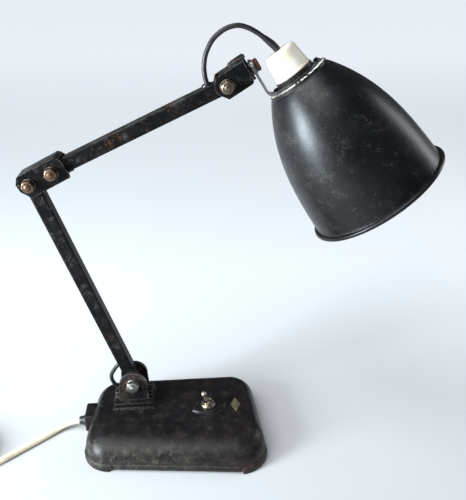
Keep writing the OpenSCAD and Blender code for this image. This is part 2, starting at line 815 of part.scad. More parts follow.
// angle plate on the knuckle: its foot lies on the web and its leg closes the end
module swivel_bracket() {
    half = knuckle_gap - 0.5;
    foot_from = 10;
    color([0.07, 0.07, 0.08]) at_knuckle() difference() {
        union() {
            translate([foot_from + half, 0, web_n]) cylinder(r = half, h = swivel_wall_t + 0.4);
            translate([foot_from + half, -half, web_n])
                cube([wall_u + swivel_wall_t - foot_from - half, 2 * half, swivel_wall_t + 0.4]);
            translate([wall_u, -half, -9]) cube([swivel_wall_t, 2 * half, 9 + web_n + eps]);
        }
        translate([wall_u - 1, 0, 0]) rotate([0, 90, 0]) cylinder(r = bolt_r + fit_clear, h = 10);
    }
}

module knuckle_bolt() {
    color([0.5, 0.45, 0.38]) at_knuckle() pivot_bolt(knuckle_half, plain_washer_t, small_nut_af);
}

module knuckle_nut() {
    color([0.5, 0.45, 0.38]) at_knuckle() pivot_nut(knuckle_half, plain_washer_t, small_nut_af);
}

module knuckle_washer() {
    color([0.45, 0.4, 0.33]) at_knuckle() facing_front() {
        translate([0, 0, knuckle_half]) ring(plain_washer_r, bolt_r + 0.1, plain_washer_t);
        translate([0, 0, -knuckle_half - plain_washer_t]) ring(plain_washer_r, bolt_r + 0.1, plain_washer_t);
    }
}

module knuckle_friction_washers() {
    color([0.45, 0.3, 0.2]) at_knuckle() friction_pair(knuckle_gap, knuckle_washer_t);
}

module along_swivel(u) {
    at_knuckle() translate([u, 0, 0]) rotate([0, 90, 0]) children();
}

swivel_head_u = strap_u + strap_t + plain_washer_t;

module swivel_bolt() {
    color([0.4, 0.22, 0.13]) along_swivel(0) {
        translate([0, 0, wall_u - nut_t - 1.5])
            cylinder(r = bolt_r, h = swivel_head_u - wall_u + nut_t + 1.5);
        translate([0, 0, swivel_head_u]) turned_hex(11, head_t);
    }
}

module swivel_nut() {
    color([0.4, 0.3, 0.22]) along_swivel(wall_u - 4.6) difference() {
        turned_hex(11, 4.6);
        translate([0, 0, -1]) cylinder(r = bolt_r + eps, h = 8);
    }
}

module swivel_washers() {
    color([0.2, 0.18, 0.16]) {
        along_swivel(wall_u + swivel_wall_t) ring(6.6, bolt_r + 0.1, swivel_washer_t - slip_clear);
        along_swivel(strap_u + strap_t + slip_clear) ring(6.8, bolt_r + 0.1, plain_washer_t - slip_clear);
    }
}

// ---------- shade head ----------

module in_swivel() {
    at_knuckle() rotate([swivel_angle, 0, 0]) children();
}

// strap plate's frame: origin on the plate's top at the holder hole, +X along the plate
module on_strap() {
    in_swivel() translate([hole_u, 0, -strap_drop]) rotate([0, -strap_tilt, 0]) children();
}

// strap's edge view: leg down from the swivel, bend, then the plate under the holder
function strap_corner(x, z) =
    [hole_u + x * cos(strap_tilt) - z * sin(strap_tilt),
        -strap_drop + x * sin(strap_tilt) + z * cos(strap_tilt)];
strap_bend = 5;
bend_at = [strap_u + strap_t + strap_bend,
    -strap_drop + (strap_u + strap_t + strap_bend - hole_u) * tan(strap_tilt) + strap_bend / cos(strap_tilt)];
bend_steps = 8;
function bend_arc(r) = [for (k = [0 : bend_steps])
    let (t = 180 + (90 + strap_tilt) * k / bend_steps) bend_at + r * [cos(t), sin(t)]];
strap_end = strap_tail - strap_w / 2;

module shade_strap() {
    inner = bend_arc(strap_bend);
    color([0.62, 0.62, 0.62]) difference() {
        union() {
            in_swivel() {
                translate([0, strap_w / 2, 0]) rotate([90, 0, 0]) linear_extrude(strap_w)
                    polygon(concat([[strap_u, 0]], bend_arc(strap_bend + strap_t),
                        [strap_corner(strap_end, -strap_t), strap_corner(strap_end, 0)],
                        [for (k = [bend_steps : -1 : 0]) inner[k]], [[strap_u + strap_t, 0]]));
                translate([strap_u, 0, 0]) rotate([0, 90, 0]) cylinder(r = strap_w / 2, h = strap_t);
            }
            on_strap() {
                translate([0, 0, -strap_t]) cylinder(r = 22.5, h = strap_t);
                translate([strap_end, 0, -strap_t]) cylinder(r = strap_w / 2, h = strap_t);
            }
        }
        along_swivel(strap_u - 2) cylinder(r = bolt_r + run_clear, h = strap_t + 4);
        on_strap() {
            translate([0, 0, -strap_t - 1]) cylinder(r = barrel_r + fit_clear, h = strap_t + 2);
            for (x = [strap_screw_left, strap_screw_right])
                translate([x, 0, -strap_t - 1]) cylinder(r = 1.7, h = strap_t + 2);
        }
    }
}

module strap_screws() {
    color([0.12, 0.12, 0.12]) on_strap() for (x = [strap_screw_left, strap_screw_right])
        translate([x, 0, 0]) {
            translate([0, 0, -strap_t - shade_t - 3.2]) cylinder(r = 1.55, h = strap_t + shade_t + 5);
            rotate([0, 0, 30]) turned_hex(4.4, 2.2);
            translate([0, 0, -strap_t - shade_t - 2]) cylinder(r1 = 2, r2 = 3, h = 2);
        }
}

// bell wall radius at a fraction t of the way from top to rim
function bell(t) = 0.75 * (1 - pow(1 - t, 3)) + 0.25 * t;
bell_steps = 26;
wall_top = collar_h;
wall_drop = shade_h - wall_top - 2 * bead_r;
function wall_point(k, inset) =
    let (t = k / bell_steps)
    [shade_top_r + gallery_in + (shade_rim_r - shade_top_r - gallery_in) * bell(t) - inset,
        -wall_top - wall_drop * t];

module lamp_shade() {
    bead_z = -shade_h + bead_r;
    bead_mid = shade_rim_r + bead_r - shade_t / 2;
    color([0.06, 0.06, 0.07]) on_strap() translate([0, 0, -strap_t]) difference() {
        union() {
            rotate_extrude($fn = 96) polygon(concat(
                [[0, 0], [shade_top_r, 0], [shade_top_r, -wall_top + 0.4],
                    [shade_top_r + gallery_in, -wall_top]],
                [for (k = [1 : bell_steps]) wall_point(k, 0)],
                [[shade_rim_r, bead_z], [shade_rim_r - shade_t, bead_z]],
                [for (k = [bell_steps : -1 : 1]) wall_point(k, shade_t)],
                [[shade_top_r - shade_t, -wall_top], [shade_top_r - shade_t, -shade_t], [0, -shade_t]]));
            translate([0, 0, bead_z]) rotate_extrude($fn = 96)
                translate([bead_mid, 0]) circle(r = bead_r, $fn = 20);
        }
        translate([0, 0, -5]) cylinder(r = barrel_r + fit_clear, h = 10);
        for (x = [strap_screw_left, strap_screw_right])
            translate([x, 0, -5]) cylinder(r = 1.7, h = 10);
    }
}

module upper_shade_ring() {
    color([0.3, 0.24, 0.18]) on_strap() ring(19.6, barrel_r + eps, ring_h);
}

module lower_shade_ring() {
    color([0.85, 0.83, 0.76]) on_strap() translate([0, 0, -strap_t - shade_t - ring_h])
        ring(17.5, barrel_r + eps, ring_h);
}

module holder_barrel() {
    color([0.85, 0.83, 0.76]) on_strap() difference() {
        translate([0, 0, -barrel_down]) cylinder(r = barrel_r, h = barrel_down + ring_h + 5);
        translate([0, 0, -barrel_down - 1])
            cylinder(r = barrel_r - barrel_wall, h = barrel_down + ring_h + 10);
        for (a = [90, 270])
            rotate([0, 0, a]) translate([0, -1.6, -barrel_down - 1]) cube([20, 3.2, 9]);
    }
}

module holder_body() {
    top_r = 4;
    color([0.94, 0.93, 0.88]) on_strap() translate([0, 0, ring_h]) difference() {
        rotate_extrude($fn = 72) polygon(concat(
            [[0, 0], [holder_base_r, 0], [holder_base_r, 1.2], [holder_base_r - 1, 5],
                [holder_base_r - 2.2, 10]],
            [for (k = [0 : 6])
                [holder_top_r - top_r + top_r * cos(15 * k), holder_h - top_r + top_r * sin(15 * k)]],
            [[0, holder_h]]));
        translate([0, 0, -1]) cylinder(r = barrel_r + eps, h = 6);
        translate([0, 0, 4.9]) cylinder(r1 = barrel_r - 0.6, r2 = holder_top_r - 5, h = holder_h - 8);
        translate([0, 0, holder_h - 6]) cylinder(r = flex_r + 0.6, h = 10);
    }
}

module contact_block() {
    color([0.9, 0.9, 0.86]) on_strap() difference() {
        union() {
            translate([0, 0, -6]) cylinder(r = barrel_r - barrel_wall - fit_clear, h = ring_h + 10);
            for (s = [-1, 1])
                translate([4 * s, 0, -8.5]) cylinder(r = 1.7, h = 3);
        }
        translate([0, 0, -1]) cylinder(r = 2.6, h = 20);
    }
}

bulb_top = -9;

module bulb_cap() {
    color("silver") on_strap() translate([0, 0, bulb_top]) {
        difference() {
            translate([0, 0, -19]) cylinder(r = 11, h = 19 + 0.2);
            translate([0, 0, -20]) cylinder(r = 10.4, h = 18.6);
        }
        for (a = [90, 270])
            rotate([0, 0, a]) translate([10.5, 0, -6]) rotate([0, 90, 0]) cylinder(r = 1, h = 1.9);
    }
}

module bulb_glass() {
    neck_r = 13;
    ball_r = 29;
    glass_t = 0.9;
    color([0.95, 0.95, 0.95, 0.6]) on_strap() translate([0, 0, bulb_top - 19]) difference() {
        union() {
            translate([0, 0, -24]) cylinder(r1 = 20, r2 = neck_r, h = 24);
            translate([0, 0, -44]) sphere(r = ball_r, $fn = 64);
        }
        translate([0, 0, -24]) cylinder(r1 = 20 - glass_t, r2 = neck_r - glass_t, h = 24 + eps);
        translate([0, 0, -44]) sphere(r = ball_r - glass_t, $fn = 64);
    }
}

// ---------- mains lead ----------

module mains_flex() {
    color([0.92, 0.89, 0.76]) swept_tube(smoothed(mains_route, 2), cord_r, 10);
}

module mains_coil() {
    color([0.92, 0.89, 0.76]) translate([coil_at[0], coil_at[1], 0]) rotate_extrude() {
        translate([coil_in_r + cord_r, 0]) square([coil_out_r - coil_in_r - mains_d, 2 * mains_d]);
        translate([coil_in_r, cord_r]) square([coil_out_r - coil_in_r, mains_d]);
        for (r = [coil_in_r + cord_r, coil_out_r - cord_r], z = [cord_r, 2 * mains_d - cord_r])
            translate([r, z]) circle(r = cord_r, $fn = 24);
    }
}

module mains_tail() {
    color([0.92, 0.89, 0.76]) swept_tube(smoothed(tail_route, 2), cord_r, 10);
}

plug_w = 46;
plug_l = 44;
plug_h = 22;

module plug_body() {
    neck = plug_at[1] - 25;
    color([0.93, 0.92, 0.88]) difference() {
        union() {
            hull() for (sx = [-1, 1], y = [-6, plug_l - 33]) {
                translate([plug_at[0] + sx * (plug_w / 2 - 8), plug_at[1] + y, 1.5])
                    cylinder(r = 8, h = plug_h - 3);
                translate([plug_at[0] + sx * (plug_w / 2 - 9), plug_at[1] + y + (y < 0 ? 1 : -1), 0])
                    cylinder(r = 8, h = plug_h);
            }
            translate([plug_at[0], plug_at[1] - 12, plug_h / 2]) rotate([90, 0, 0])
                cylinder(r1 = 7, r2 = 5.5, h = 13);
        }
        translate([plug_at[0], neck + 12, plug_h / 2]) rotate([90, 0, 0]) cylinder(r = cord_r, h = 20);
        pin_shapes(eps);
    }
}

// one tall pin above two broad ones, grown by g on every side but the tips
module pin_shapes(g) {
    root = 2;
    face = plug_at[1] + plug_l - 25;
    translate([plug_at[0], face - root - g, plug_h / 2]) {
        translate([-2 - g, 0, 2 - g]) cube([4 + 2 * g, 20 + root, 6 + 2 * g]);
        for (s = [-1, 1])
            translate([s * 11 - 3.2 - g, 0, -8 - g]) cube([6.4 + 2 * g, 16 + root, 4 + 2 * g]);
    }
}

module plug_pins() {
    color([0.75, 0.62, 0.35]) pin_shapes(0);
}

base_casting();
bottom_plate();
felt_pad();
bottom_plate_screws();
lozenge_plate();
base_bracket();
bracket_bolts();
base_pivot_bolt();
base_pivot_nut();
base_friction_washers();
switch_body();
switch_bush();
switch_ring_nut();
toggle_lever();
terminal_block();
cord_clamp();
clamp_screws();
earth_screw();
base_leads();
cord_gland();
base_grommet();
base_flex_loop();
lower_arm_tube();
lower_arm_cores();
elbow_channel();
elbow_bolts();
elbow_nuts();
elbow_washers();
elbow_friction_washers();
elbow_cores();
upper_arm_tube();
upper_arm_cores();
arm_grommet();
head_flex_arm();
head_flex_holder();
head_flex_sleeve();
knuckle_channel();
swivel_bracket();
knuckle_bolt();
knuckle_nut();
knuckle_washer();
knuckle_friction_washers();
swivel_bolt();
swivel_nut();
swivel_washers();
shade_strap();
strap_screws();
holder_body();
upper_shade_ring();
holder_barrel();
contact_block();
lower_shade_ring();
lamp_shade();
bulb_cap();
bulb_glass();
mains_flex();
mains_coil();
mains_tail();
plug_body();
plug_pins();
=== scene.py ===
"""Finished pieces of an articulated desk lamp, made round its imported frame."""

import json
import math

import bmesh
import bpy
import numpy as np
from bpy.props import FloatProperty, FloatVectorProperty, IntProperty, PointerProperty
from mathutils import Matrix, Vector, noise


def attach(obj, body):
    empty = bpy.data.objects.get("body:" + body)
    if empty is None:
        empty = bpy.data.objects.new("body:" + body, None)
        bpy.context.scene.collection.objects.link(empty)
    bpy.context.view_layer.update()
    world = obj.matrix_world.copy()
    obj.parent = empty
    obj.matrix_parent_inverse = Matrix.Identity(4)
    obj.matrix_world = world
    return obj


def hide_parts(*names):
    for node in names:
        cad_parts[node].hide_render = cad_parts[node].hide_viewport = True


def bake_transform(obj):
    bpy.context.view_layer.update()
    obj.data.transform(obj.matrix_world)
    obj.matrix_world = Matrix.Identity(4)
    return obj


bl_info = {
    "name": "Architect desk lamp",
    "version": (1, 0, 0),
    "blender": (4, 5, 0),
    "location": "3D View > Sidebar > Desk lamp",
    "description": "Makes the finished pieces of an articulated desk lamp round its frame",
    "category": "Add Mesh",
}

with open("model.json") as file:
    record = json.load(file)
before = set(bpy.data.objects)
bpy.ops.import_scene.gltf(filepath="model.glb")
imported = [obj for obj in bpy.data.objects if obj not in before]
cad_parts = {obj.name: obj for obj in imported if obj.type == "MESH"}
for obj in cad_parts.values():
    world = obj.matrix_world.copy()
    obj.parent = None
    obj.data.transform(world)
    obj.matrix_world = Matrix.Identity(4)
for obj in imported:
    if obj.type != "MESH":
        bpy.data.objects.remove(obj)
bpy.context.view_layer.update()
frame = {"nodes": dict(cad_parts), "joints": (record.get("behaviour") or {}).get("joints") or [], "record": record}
MM = 0.001

# Joints and slopes of the frame at rest
PIVOT = {j["name"]: Vector(j["pos_m"]) for j in frame["joints"]}
LOWER_SLOPE = 108.4
LINK_SLOPE = 26.8
UPPER_SLOPE = 24.9
KNUCKLE_SLOPE = 32.0
SWIVEL_TURN = -6.3
STRAP_TILT = 5.0
HOLE_ALONG = 58.75
STRAP_DROP = 28.2
STRAP_THICK = 2.5
ARM_WIDE = 14.3
ARM_Y = 29.0
BASE_TOP = 34.0


def sloped(origin, degrees):
    """Frame at a point whose X axis climbs at that slope in the arms' plane."""
    return Matrix.Translation(origin) @ Matrix.Rotation(-math.radians(degrees), 4, "Y")


def at(x, y, z):
    """Translation in millimetres."""
    return Matrix.Translation((x * MM, y * MM, z * MM))


BASE_NUT_ACROSS = 13.6
BASE_WASHER_R = 7.4
SMALL_NUT_ACROSS = 11.0
SMALL_WASHER_R = 6.8
LOWER = sloped(PIVOT["base_hinge"], LOWER_SLOPE)
LINK = sloped(PIVOT["lower_elbow"], LINK_SLOPE)
UPPER = sloped(PIVOT["upper_elbow"], UPPER_SLOPE)
KNUCKLE = sloped(PIVOT["head_tilt"], KNUCKLE_SLOPE)
STRAP = (
    KNUCKLE
    @ Matrix.Rotation(math.radians(SWIVEL_TURN), 4, "X")
    @ at(HOLE_ALONG, 0, -STRAP_DROP)
    @ Matrix.Rotation(-math.radians(STRAP_TILT), 4, "Y")
)


class LampSizes(bpy.types.PropertyGroup):
    """Sizes that change the lamp's finished pieces."""

    mains_diameter: FloatProperty(
        name="Mains flex diameter",
        description="Outside diameter of the cream mains flex",
        default=0.007,
        unit="LENGTH",
        subtype="DISTANCE",
    )
    arm_flex_diameter: FloatProperty(
        name="Arm flex diameter",
        description="Outside diameter of the black flex at the joints",
        default=0.0046,
        unit="LENGTH",
        subtype="DISTANCE",
    )
    shade_wall: FloatProperty(
        name="Shade wall",
        description="Thickness of the spun shade",
        default=0.0011,
        unit="LENGTH",
        subtype="DISTANCE",
    )
    cast_wave: FloatProperty(
        name="Cast wave",
        description="Height of the slow unevenness of the cast surface",
        default=0.00022,
        unit="LENGTH",
        subtype="DISTANCE",
    )
    plate_round: FloatProperty(
        name="Plate rounding",
        description="Radius of the softened edges of plates and fittings",
        default=0.0004,
        unit="LENGTH",
        subtype="DISTANCE",
    )
    around: IntProperty(
        name="Shade steps",
        description="Number of steps round the shade",
        default=192,
        min=24,
    )


def tint(name, description, default):
    """Colour property."""
    return FloatVectorProperty(
        name=name, description=description, default=default, subtype="COLOR", min=0.0, max=1.0
    )


class LampColours(bpy.types.PropertyGroup):
    """Colours of the lamp's finishes."""

    enamel: tint("Enamel", "Black enamel of the shade", (0.0022, 0.0025, 0.0034))
    arm_paint: tint("Arm paint", "Satin black of arms and channels", (0.0035, 0.0035, 0.004))
    cast_paint: tint("Casting paint", "Black paint of the base", (0.0055, 0.0052, 0.0058))
    rust: tint("Rust", "Brown rust", (0.085, 0.036, 0.018))
    patina: tint("Patina", "Bronze-brown of old fittings", (0.16, 0.10, 0.065))
    nickel: tint("Nickel", "Worn nickel over brass", (0.60, 0.54, 0.42))
    brass: tint("Brass", "Tarnished brass", (0.40, 0.32, 0.20))
    cream: tint("Cream moulding", "Aged cream plastic", (0.66, 0.635, 0.545))
    cream_flex: tint("Cream flex", "Aged cream mains flex", (0.80, 0.71, 0.49))
    rubber: tint("Black rubber", "Black flex and grommets", (0.012, 0.012, 0.013))
    fibre: tint("Fibre", "Brown fibre washers", (0.12, 0.06, 0.03))
    felt: tint("Felt", "Felt under the base", (0.06, 0.09, 0.06))
    floor: tint("Floor", "Pale floor", (0.49, 0.495, 0.495))


def sizes():
    """Scene's size properties."""
    return bpy.context.scene.desk_lamp_sizes


def colours():
    """Scene's colour properties."""
    return bpy.context.scene.desk_lamp_colours


# ---------- shader groups ----------


def put(tree, kind, inputs=None, **settings):
    """Adds a node, with its settings and its inputs as values or sockets."""
    made = tree.nodes.new(kind)
    for key, value in settings.items():
        setattr(made, key, value)
    for key, value in (inputs or {}).items():
        if isinstance(value, bpy.types.NodeSocket):
            tree.links.new(value, made.inputs[key])
        else:
            made.inputs[key].default_value = value
    return made


def maths(tree, operation, a, b=0.0, clamp=False):
    """Math node's value."""
    return put(tree, "ShaderNodeMath", {0: a, 1: b}, operation=operation, use_clamp=clamp).outputs[0]


def ramped(tree, value, low, high, to_low=0.0, to_high=1.0):
    """Value eased from one range to another."""
    inputs = {"Value": value, "From Min": low, "From Max": high, "To Min": to_low, "To Max": to_high}
    made = put(tree, "ShaderNodeMapRange", inputs, interpolation_type="SMOOTHSTEP")
    return made.outputs["Result"]


def shader_group(name, floats, outputs):
    """Empty shader group with a Vector input, float inputs and named float outputs."""
    group = bpy.data.node_groups.new(name, "ShaderNodeTree")
    group.interface.new_socket("Vector", in_out="INPUT", socket_type="NodeSocketVector")
    for label, default in floats.items():
        socket = group.interface.new_socket(label, in_out="INPUT", socket_type="NodeSocketFloat")
        socket.default_value = default
    for label in outputs:
        group.interface.new_socket(label, in_out="OUTPUT", socket_type="NodeSocketFloat")
    return group, group.nodes.new("NodeGroupInput").outputs, group.nodes.new("NodeGroupOutput").inputs


def speckle_group():
    """Small ragged spots where a coat is chipped or rusted."""
    group, given, out = shader_group(
        "Lamp speckle", {"Scale": 600.0, "Cover": 0.4, "Softness": 0.05, "Clumping": 0.5}, ["Mask"]
    )
    inputs = {"Vector": given["Vector"], "Scale": given["Scale"], "Detail": 5.0, "Roughness": 0.65}
    fine = put(group, "ShaderNodeTexNoise", inputs).outputs["Fac"]
    slow_scale = maths(group, "MULTIPLY", given["Scale"], 0.07)
    inputs = {"Vector": given["Vector"], "Scale": slow_scale, "Detail": 3.0, "Roughness": 0.6}
    slow = put(group, "ShaderNodeTexNoise", inputs).outputs["Fac"]
    clump = maths(group, "MULTIPLY", maths(group, "SUBTRACT", slow, 0.5), given["Clumping"])
    level = maths(group, "SUBTRACT", 0.70, maths(group, "MULTIPLY", given["Cover"], 0.40))
    over = maths(group, "SUBTRACT", maths(group, "ADD", fine, clump), level)
    share = maths(group, "DIVIDE", over, given["Softness"], clamp=True)
    group.links.new(share, out["Mask"])
    return group


def patches_group():
    """Slow cloudy patches between a low and a high value."""
    group, given, out = shader_group(
        "Lamp patches", {"Scale": 20.0, "Low": 0.0, "High": 1.0, "Spread": 0.12}, ["Value"]
    )
    inputs = {"Vector": given["Vector"], "Scale": given["Scale"], "Detail": 4.0, "Roughness": 0.55}
    cloud = put(group, "ShaderNodeTexNoise", inputs).outputs["Fac"]
    low = maths(group, "SUBTRACT", 0.5, given["Spread"])
    high = maths(group, "ADD", 0.5, given["Spread"])
    made = put(
        group,
        "ShaderNodeMapRange",
        {
            "Value": cloud,
            "From Min": low,
            "From Max": high,
            "To Min": given["Low"],
            "To Max": given["High"],
        },
        interpolation_type="SMOOTHSTEP",
    )
    group.links.new(made.outputs["Result"], out["Value"])
    return group


def worn_edge_group():
    """Mask that is high on convex edges, broken up by noise."""
    group, given, out = shader_group(
        "Lamp worn edge", {"Radius": 0.0008, "Scale": 300.0, "Amount": 0.6}, ["Mask"]
    )
    soft = put(group, "ShaderNodeBevel", {"Radius": given["Radius"]}, samples=6).outputs["Normal"]
    hard = put(group, "ShaderNodeNewGeometry").outputs["Normal"]
    dot = put(group, "ShaderNodeVectorMath", {0: soft, 1: hard}, operation="DOT_PRODUCT")
    bend = maths(group, "SUBTRACT", 1.0, dot.outputs["Value"])
    inputs = {"Vector": given["Vector"], "Scale": given["Scale"], "Detail": 4.0, "Roughness": 0.6}
    grain = put(group, "ShaderNodeTexNoise", inputs).outputs["Fac"]
    keep = ramped(group, grain, 0.35, 0.65)
    strong = maths(group, "MULTIPLY", maths(group, "MULTIPLY", bend, 14.0, clamp=True), keep)
    group.links.new(maths(group, "MULTIPLY", strong, given["Amount"], clamp=True), out["Mask"])
    return group


def grain_group():
    """Fine surface height with a slower swell under it."""
    group, given, out = shader_group("Lamp grain", {"Scale": 900.0, "Swell": 0.4}, ["Height"])
    inputs = {"Vector": given["Vector"], "Scale": given["Scale"], "Detail": 3.0, "Roughness": 0.6}
    fine = put(group, "ShaderNodeTexNoise", inputs).outputs["Fac"]
    slow_scale = maths(group, "MULTIPLY", given["Scale"], 0.12)
    inputs = {"Vector": given["Vector"], "Scale": slow_scale, "Detail": 2.0}
    slow = put(group, "ShaderNodeTexNoise", inputs).outputs["Fac"]
    both = maths(group, "ADD", fine, maths(group, "MULTIPLY", slow, given["Swell"]))
    group.links.new(both, out["Height"])
    return group


def dust_group():
    """Mask of dust that settles on surfaces that face up."""
    group, given, out = shader_group("Lamp dust", {"Amount": 0.3, "Scale": 60.0}, ["Mask"])
    normal = put(group, "ShaderNodeNewGeometry").outputs["Normal"]
    up = put(group, "ShaderNodeSeparateXYZ", {"Vector": normal}).outputs["Z"]
    facing = ramped(group, up, 0.3, 1.0)
    inputs = {"Vector": given["Vector"], "Scale": given["Scale"], "Detail": 6.0, "Roughness": 0.7}
    cloud = put(group, "ShaderNodeTexNoise", inputs).outputs["Fac"]
    share = maths(group, "MULTIPLY", facing, ramped(group, cloud, 0.35, 0.75))
    group.links.new(maths(group, "MULTIPLY", share, given["Amount"]), out["Mask"])
    return group


GROUP_MAKERS = {
    "speckle": speckle_group,
    "patches": patches_group,
    "worn edge": worn_edge_group,
    "grain": grain_group,
    "dust": dust_group,
}


class Finish:
    """A layered surface: a base coat, masks over it, and relief under them."""

    def __init__(self, name, colour, roughness, metallic=0.0, sockets=None):
        self.material = bpy.data.materials.new(name)
        self.material.use_nodes = True
        self.tree = self.material.node_tree
        self.shader = self.tree.nodes["Principled BSDF"]
        for label, value in (sockets or {}).items():
            self.shader.inputs[label].default_value = value
        self.place = put(self.tree, "ShaderNodeTexCoord").outputs["Object"]
        self.colour = (*colour, 1.0)
        self.rough = roughness
        self.metal = metallic
        self.normal = None
        self.material.diffuse_color = self.colour

    def group(self, kind, output, **inputs):
        """Output of a shared group, placed with its own values."""
        group = bpy.data.node_groups.get("Lamp " + kind) or GROUP_MAKERS[kind]()
        made = put(self.tree, "ShaderNodeGroup", node_tree=group)
        self.tree.links.new(self.place, made.inputs["Vector"])
        for label, value in inputs.items():
            made.inputs[label.capitalize()].default_value = value
        return made.outputs[output]

    def axis(self, name):
        """Object coordinate along one axis, in metres."""
        return put(self.tree, "ShaderNodeSeparateXYZ", {"Vector": self.place}).outputs[name]

    def both(self, a, b):
        """Product of two masks."""
        return maths(self.tree, "MULTIPLY", a, b)

    def mix(self, kind, mask, below, above):
        """Mix of two values or colours by a mask."""
        made = put(self.tree, "ShaderNodeMix", data_type=kind)
        offset = {"FLOAT": 2, "RGBA": 6}[kind]
        for index, value in ((0, mask), (offset, below), (offset + 1, above)):
            if isinstance(value, bpy.types.NodeSocket):
                self.tree.links.new(value, made.inputs[index])
            else:
                made.inputs[index].default_value = value
        return made.outputs[{"FLOAT": 0, "RGBA": 2}[kind]]

    def over(self, mask, colour=None, roughness=None, metallic=None):
        """Lays a colour, roughness or metal over the coat where the mask is high."""
        if colour is not None:
            self.colour = self.mix("RGBA", mask, self.colour, (*colour, 1.0))
        if roughness is not None:
            self.rough = self.mix("FLOAT", mask, self.rough, roughness)
        if metallic is not None:
            self.metal = self.mix("FLOAT", mask, self.metal, metallic)
        return self

    def relief(self, height, depth, strength=1.0):
        """Adds a bump of that depth in metres."""
        inputs = {"Height": height, "Distance": depth, "Strength": strength}
        made = put(self.tree, "ShaderNodeBump", inputs)
        if self.normal is not None:
            self.tree.links.new(self.normal, made.inputs["Normal"])
        self.normal = made.outputs["Normal"]
        return self

    def done(self):
        """Connects the layers to the shader and gives the material."""
        for label, value in (
            ("Base Color", self.colour),
            ("Roughness", self.rough),
            ("Metallic", self.metal),
        ):
            if isinstance(value, bpy.types.NodeSocket):
                self.tree.links.new(value, self.shader.inputs[label])
            else:
                self.shader.inputs[label].default_value = value
        if self.normal is not None:
            self.tree.links.new(self.normal, self.shader.inputs["Normal"])
        return self.material


# ---------- finishes ----------


def enamel_outside():
    """Old black enamel: broad soft shine, dulled in patches, chipped in specks, with lighter scuff marks and a
    painted sheen on its window-lit left side.
    """
    made = Finish("shade enamel", colours().enamel, 0.32, 0.0, {"Specular IOR Level": 0.36})
    dull = made.group("patches", "Value", scale=26.0, spread=0.10)
    made.over(dull, (0.003, 0.0033, 0.0042), 0.35)
    haze = made.group("patches", "Value", scale=70.0, low=0.0, high=0.6, spread=0.08)
    made.over(haze, (0.004, 0.0042, 0.0048), 0.38)
    # Lighter grey scuff marks only on the shade's left, where the window light falls: partly real scuffing, partly
    # a painted sheen.
    left = ramped(made.tree, made.axis("X"), 0.185, 0.125)
    scuffs_and_sheen = made.group("speckle", "Mask", scale=900.0, cover=0.27, softness=0.22, clumping=0.9)
    made.over(made.both(left, scuffs_and_sheen), (0.050, 0.049, 0.046), 0.4)
    specks = made.group("speckle", "Mask", scale=1500.0, cover=0.12, softness=0.03, clumping=0.5)
    made.over(specks, (0.08, 0.076, 0.068), 0.6)
    edge = made.group("worn edge", "Mask", radius=0.0012, scale=260.0, amount=0.45)
    made.over(edge, (0.11, 0.105, 0.10), 0.45)
    made.relief(made.group("patches", "Value", scale=55.0, spread=0.25), 0.00025, 0.35)
    made.relief(made.group("grain", "Height", scale=700.0, swell=1.2), 0.00003, 0.5)
    return made.done()


def enamel_inside():
    """Aged white enamel inside the shade."""
    made = Finish("shade inside", (0.74, 0.72, 0.65), 0.38)
    made.over(made.group("patches", "Value", scale=30.0, low=0.0, high=0.6), (0.62, 0.58, 0.48), 0.5)
    made.over(made.group("speckle", "Mask", scale=500.0, cover=0.1), (0.30, 0.22, 0.14), 0.7)
    made.relief(made.group("grain", "Height", scale=500.0), 0.00003, 0.4)
    return made.done()


def satin_black(name, wear=0.55, cover=0.42, shine=0.36):
    """Satin black paint with grey speckled wear and lighter edges."""
    made = Finish(name, colours().arm_paint, shine, 0.0, {"Specular IOR Level": 0.08})
    made.over(made.group("patches", "Value", scale=40.0), (0.0065, 0.006, 0.006), shine + 0.10)
    dots = made.group("speckle", "Mask", scale=900.0, cover=cover, softness=0.10, clumping=0.5)
    made.over(dots, (0.008, 0.0075, 0.0075), 0.5)
    pale = made.group("speckle", "Mask", scale=1500.0, cover=cover - 0.20, softness=0.05, clumping=0.6)
    made.over(pale, (0.065, 0.061, 0.058), 0.5)
    brown = made.group("speckle", "Mask", scale=520.0, cover=0.10, softness=0.08, clumping=0.8)
    made.over(brown, colours().rust, 0.75)
    edge = made.group("worn edge", "Mask", radius=0.0009, scale=330.0, amount=wear)
    made.over(edge, (0.24, 0.23, 0.22), 0.42, 0.5)
    made.over(made.group("dust", "Mask", amount=0.34), (0.16, 0.155, 0.15), 0.8)
    made.relief(made.group("grain", "Height", scale=1100.0, swell=0.8), 0.00008, 0.6)
    return made.done()


def strap_black():
    """Strap: black round the holder with rubbed edges, light grey on its leg, partly bare steel and partly a
    painted highlight.
    """
    made = Finish("strap paint", (0.010, 0.010, 0.011), 0.34)
    made.over(made.group("speckle", "Mask", scale=900.0, cover=0.4, softness=0.1), (0.05, 0.045, 0.04), 0.55)
    x = maths(made.tree, "SUBTRACT", made.axis("X"), PIVOT["head_tilt"].x)
    z = maths(made.tree, "SUBTRACT", made.axis("Z"), PIVOT["head_tilt"].z)
    slope = math.radians(KNUCKLE_SLOPE)
    along = maths(
        made.tree,
        "ADD",
        maths(made.tree, "MULTIPLY", x, math.cos(slope)),
        maths(made.tree, "MULTIPLY", z, math.sin(slope)),
    )
    # The leg is painted light grey metal: partly bare steel, partly a painted highlight along its edge.
    leg = ramped(made.tree, along, 0.0375, 0.033)
    made.over(leg, (0.30, 0.30, 0.295), 0.38, 0.9)
    stain = made.group("speckle", "Mask", scale=500.0, cover=0.36, softness=0.12, clumping=0.9)
    made.over(made.both(leg, stain), (0.09, 0.065, 0.05), 0.6, 0.3)
    edge = made.group("worn edge", "Mask", radius=0.0007, scale=300.0, amount=0.6)
    made.over(edge, (0.30, 0.285, 0.265), 0.42, 0.7)
    made.relief(made.group("grain", "Height", scale=1100.0, swell=0.8), 0.00007, 0.6)
    return made.done()


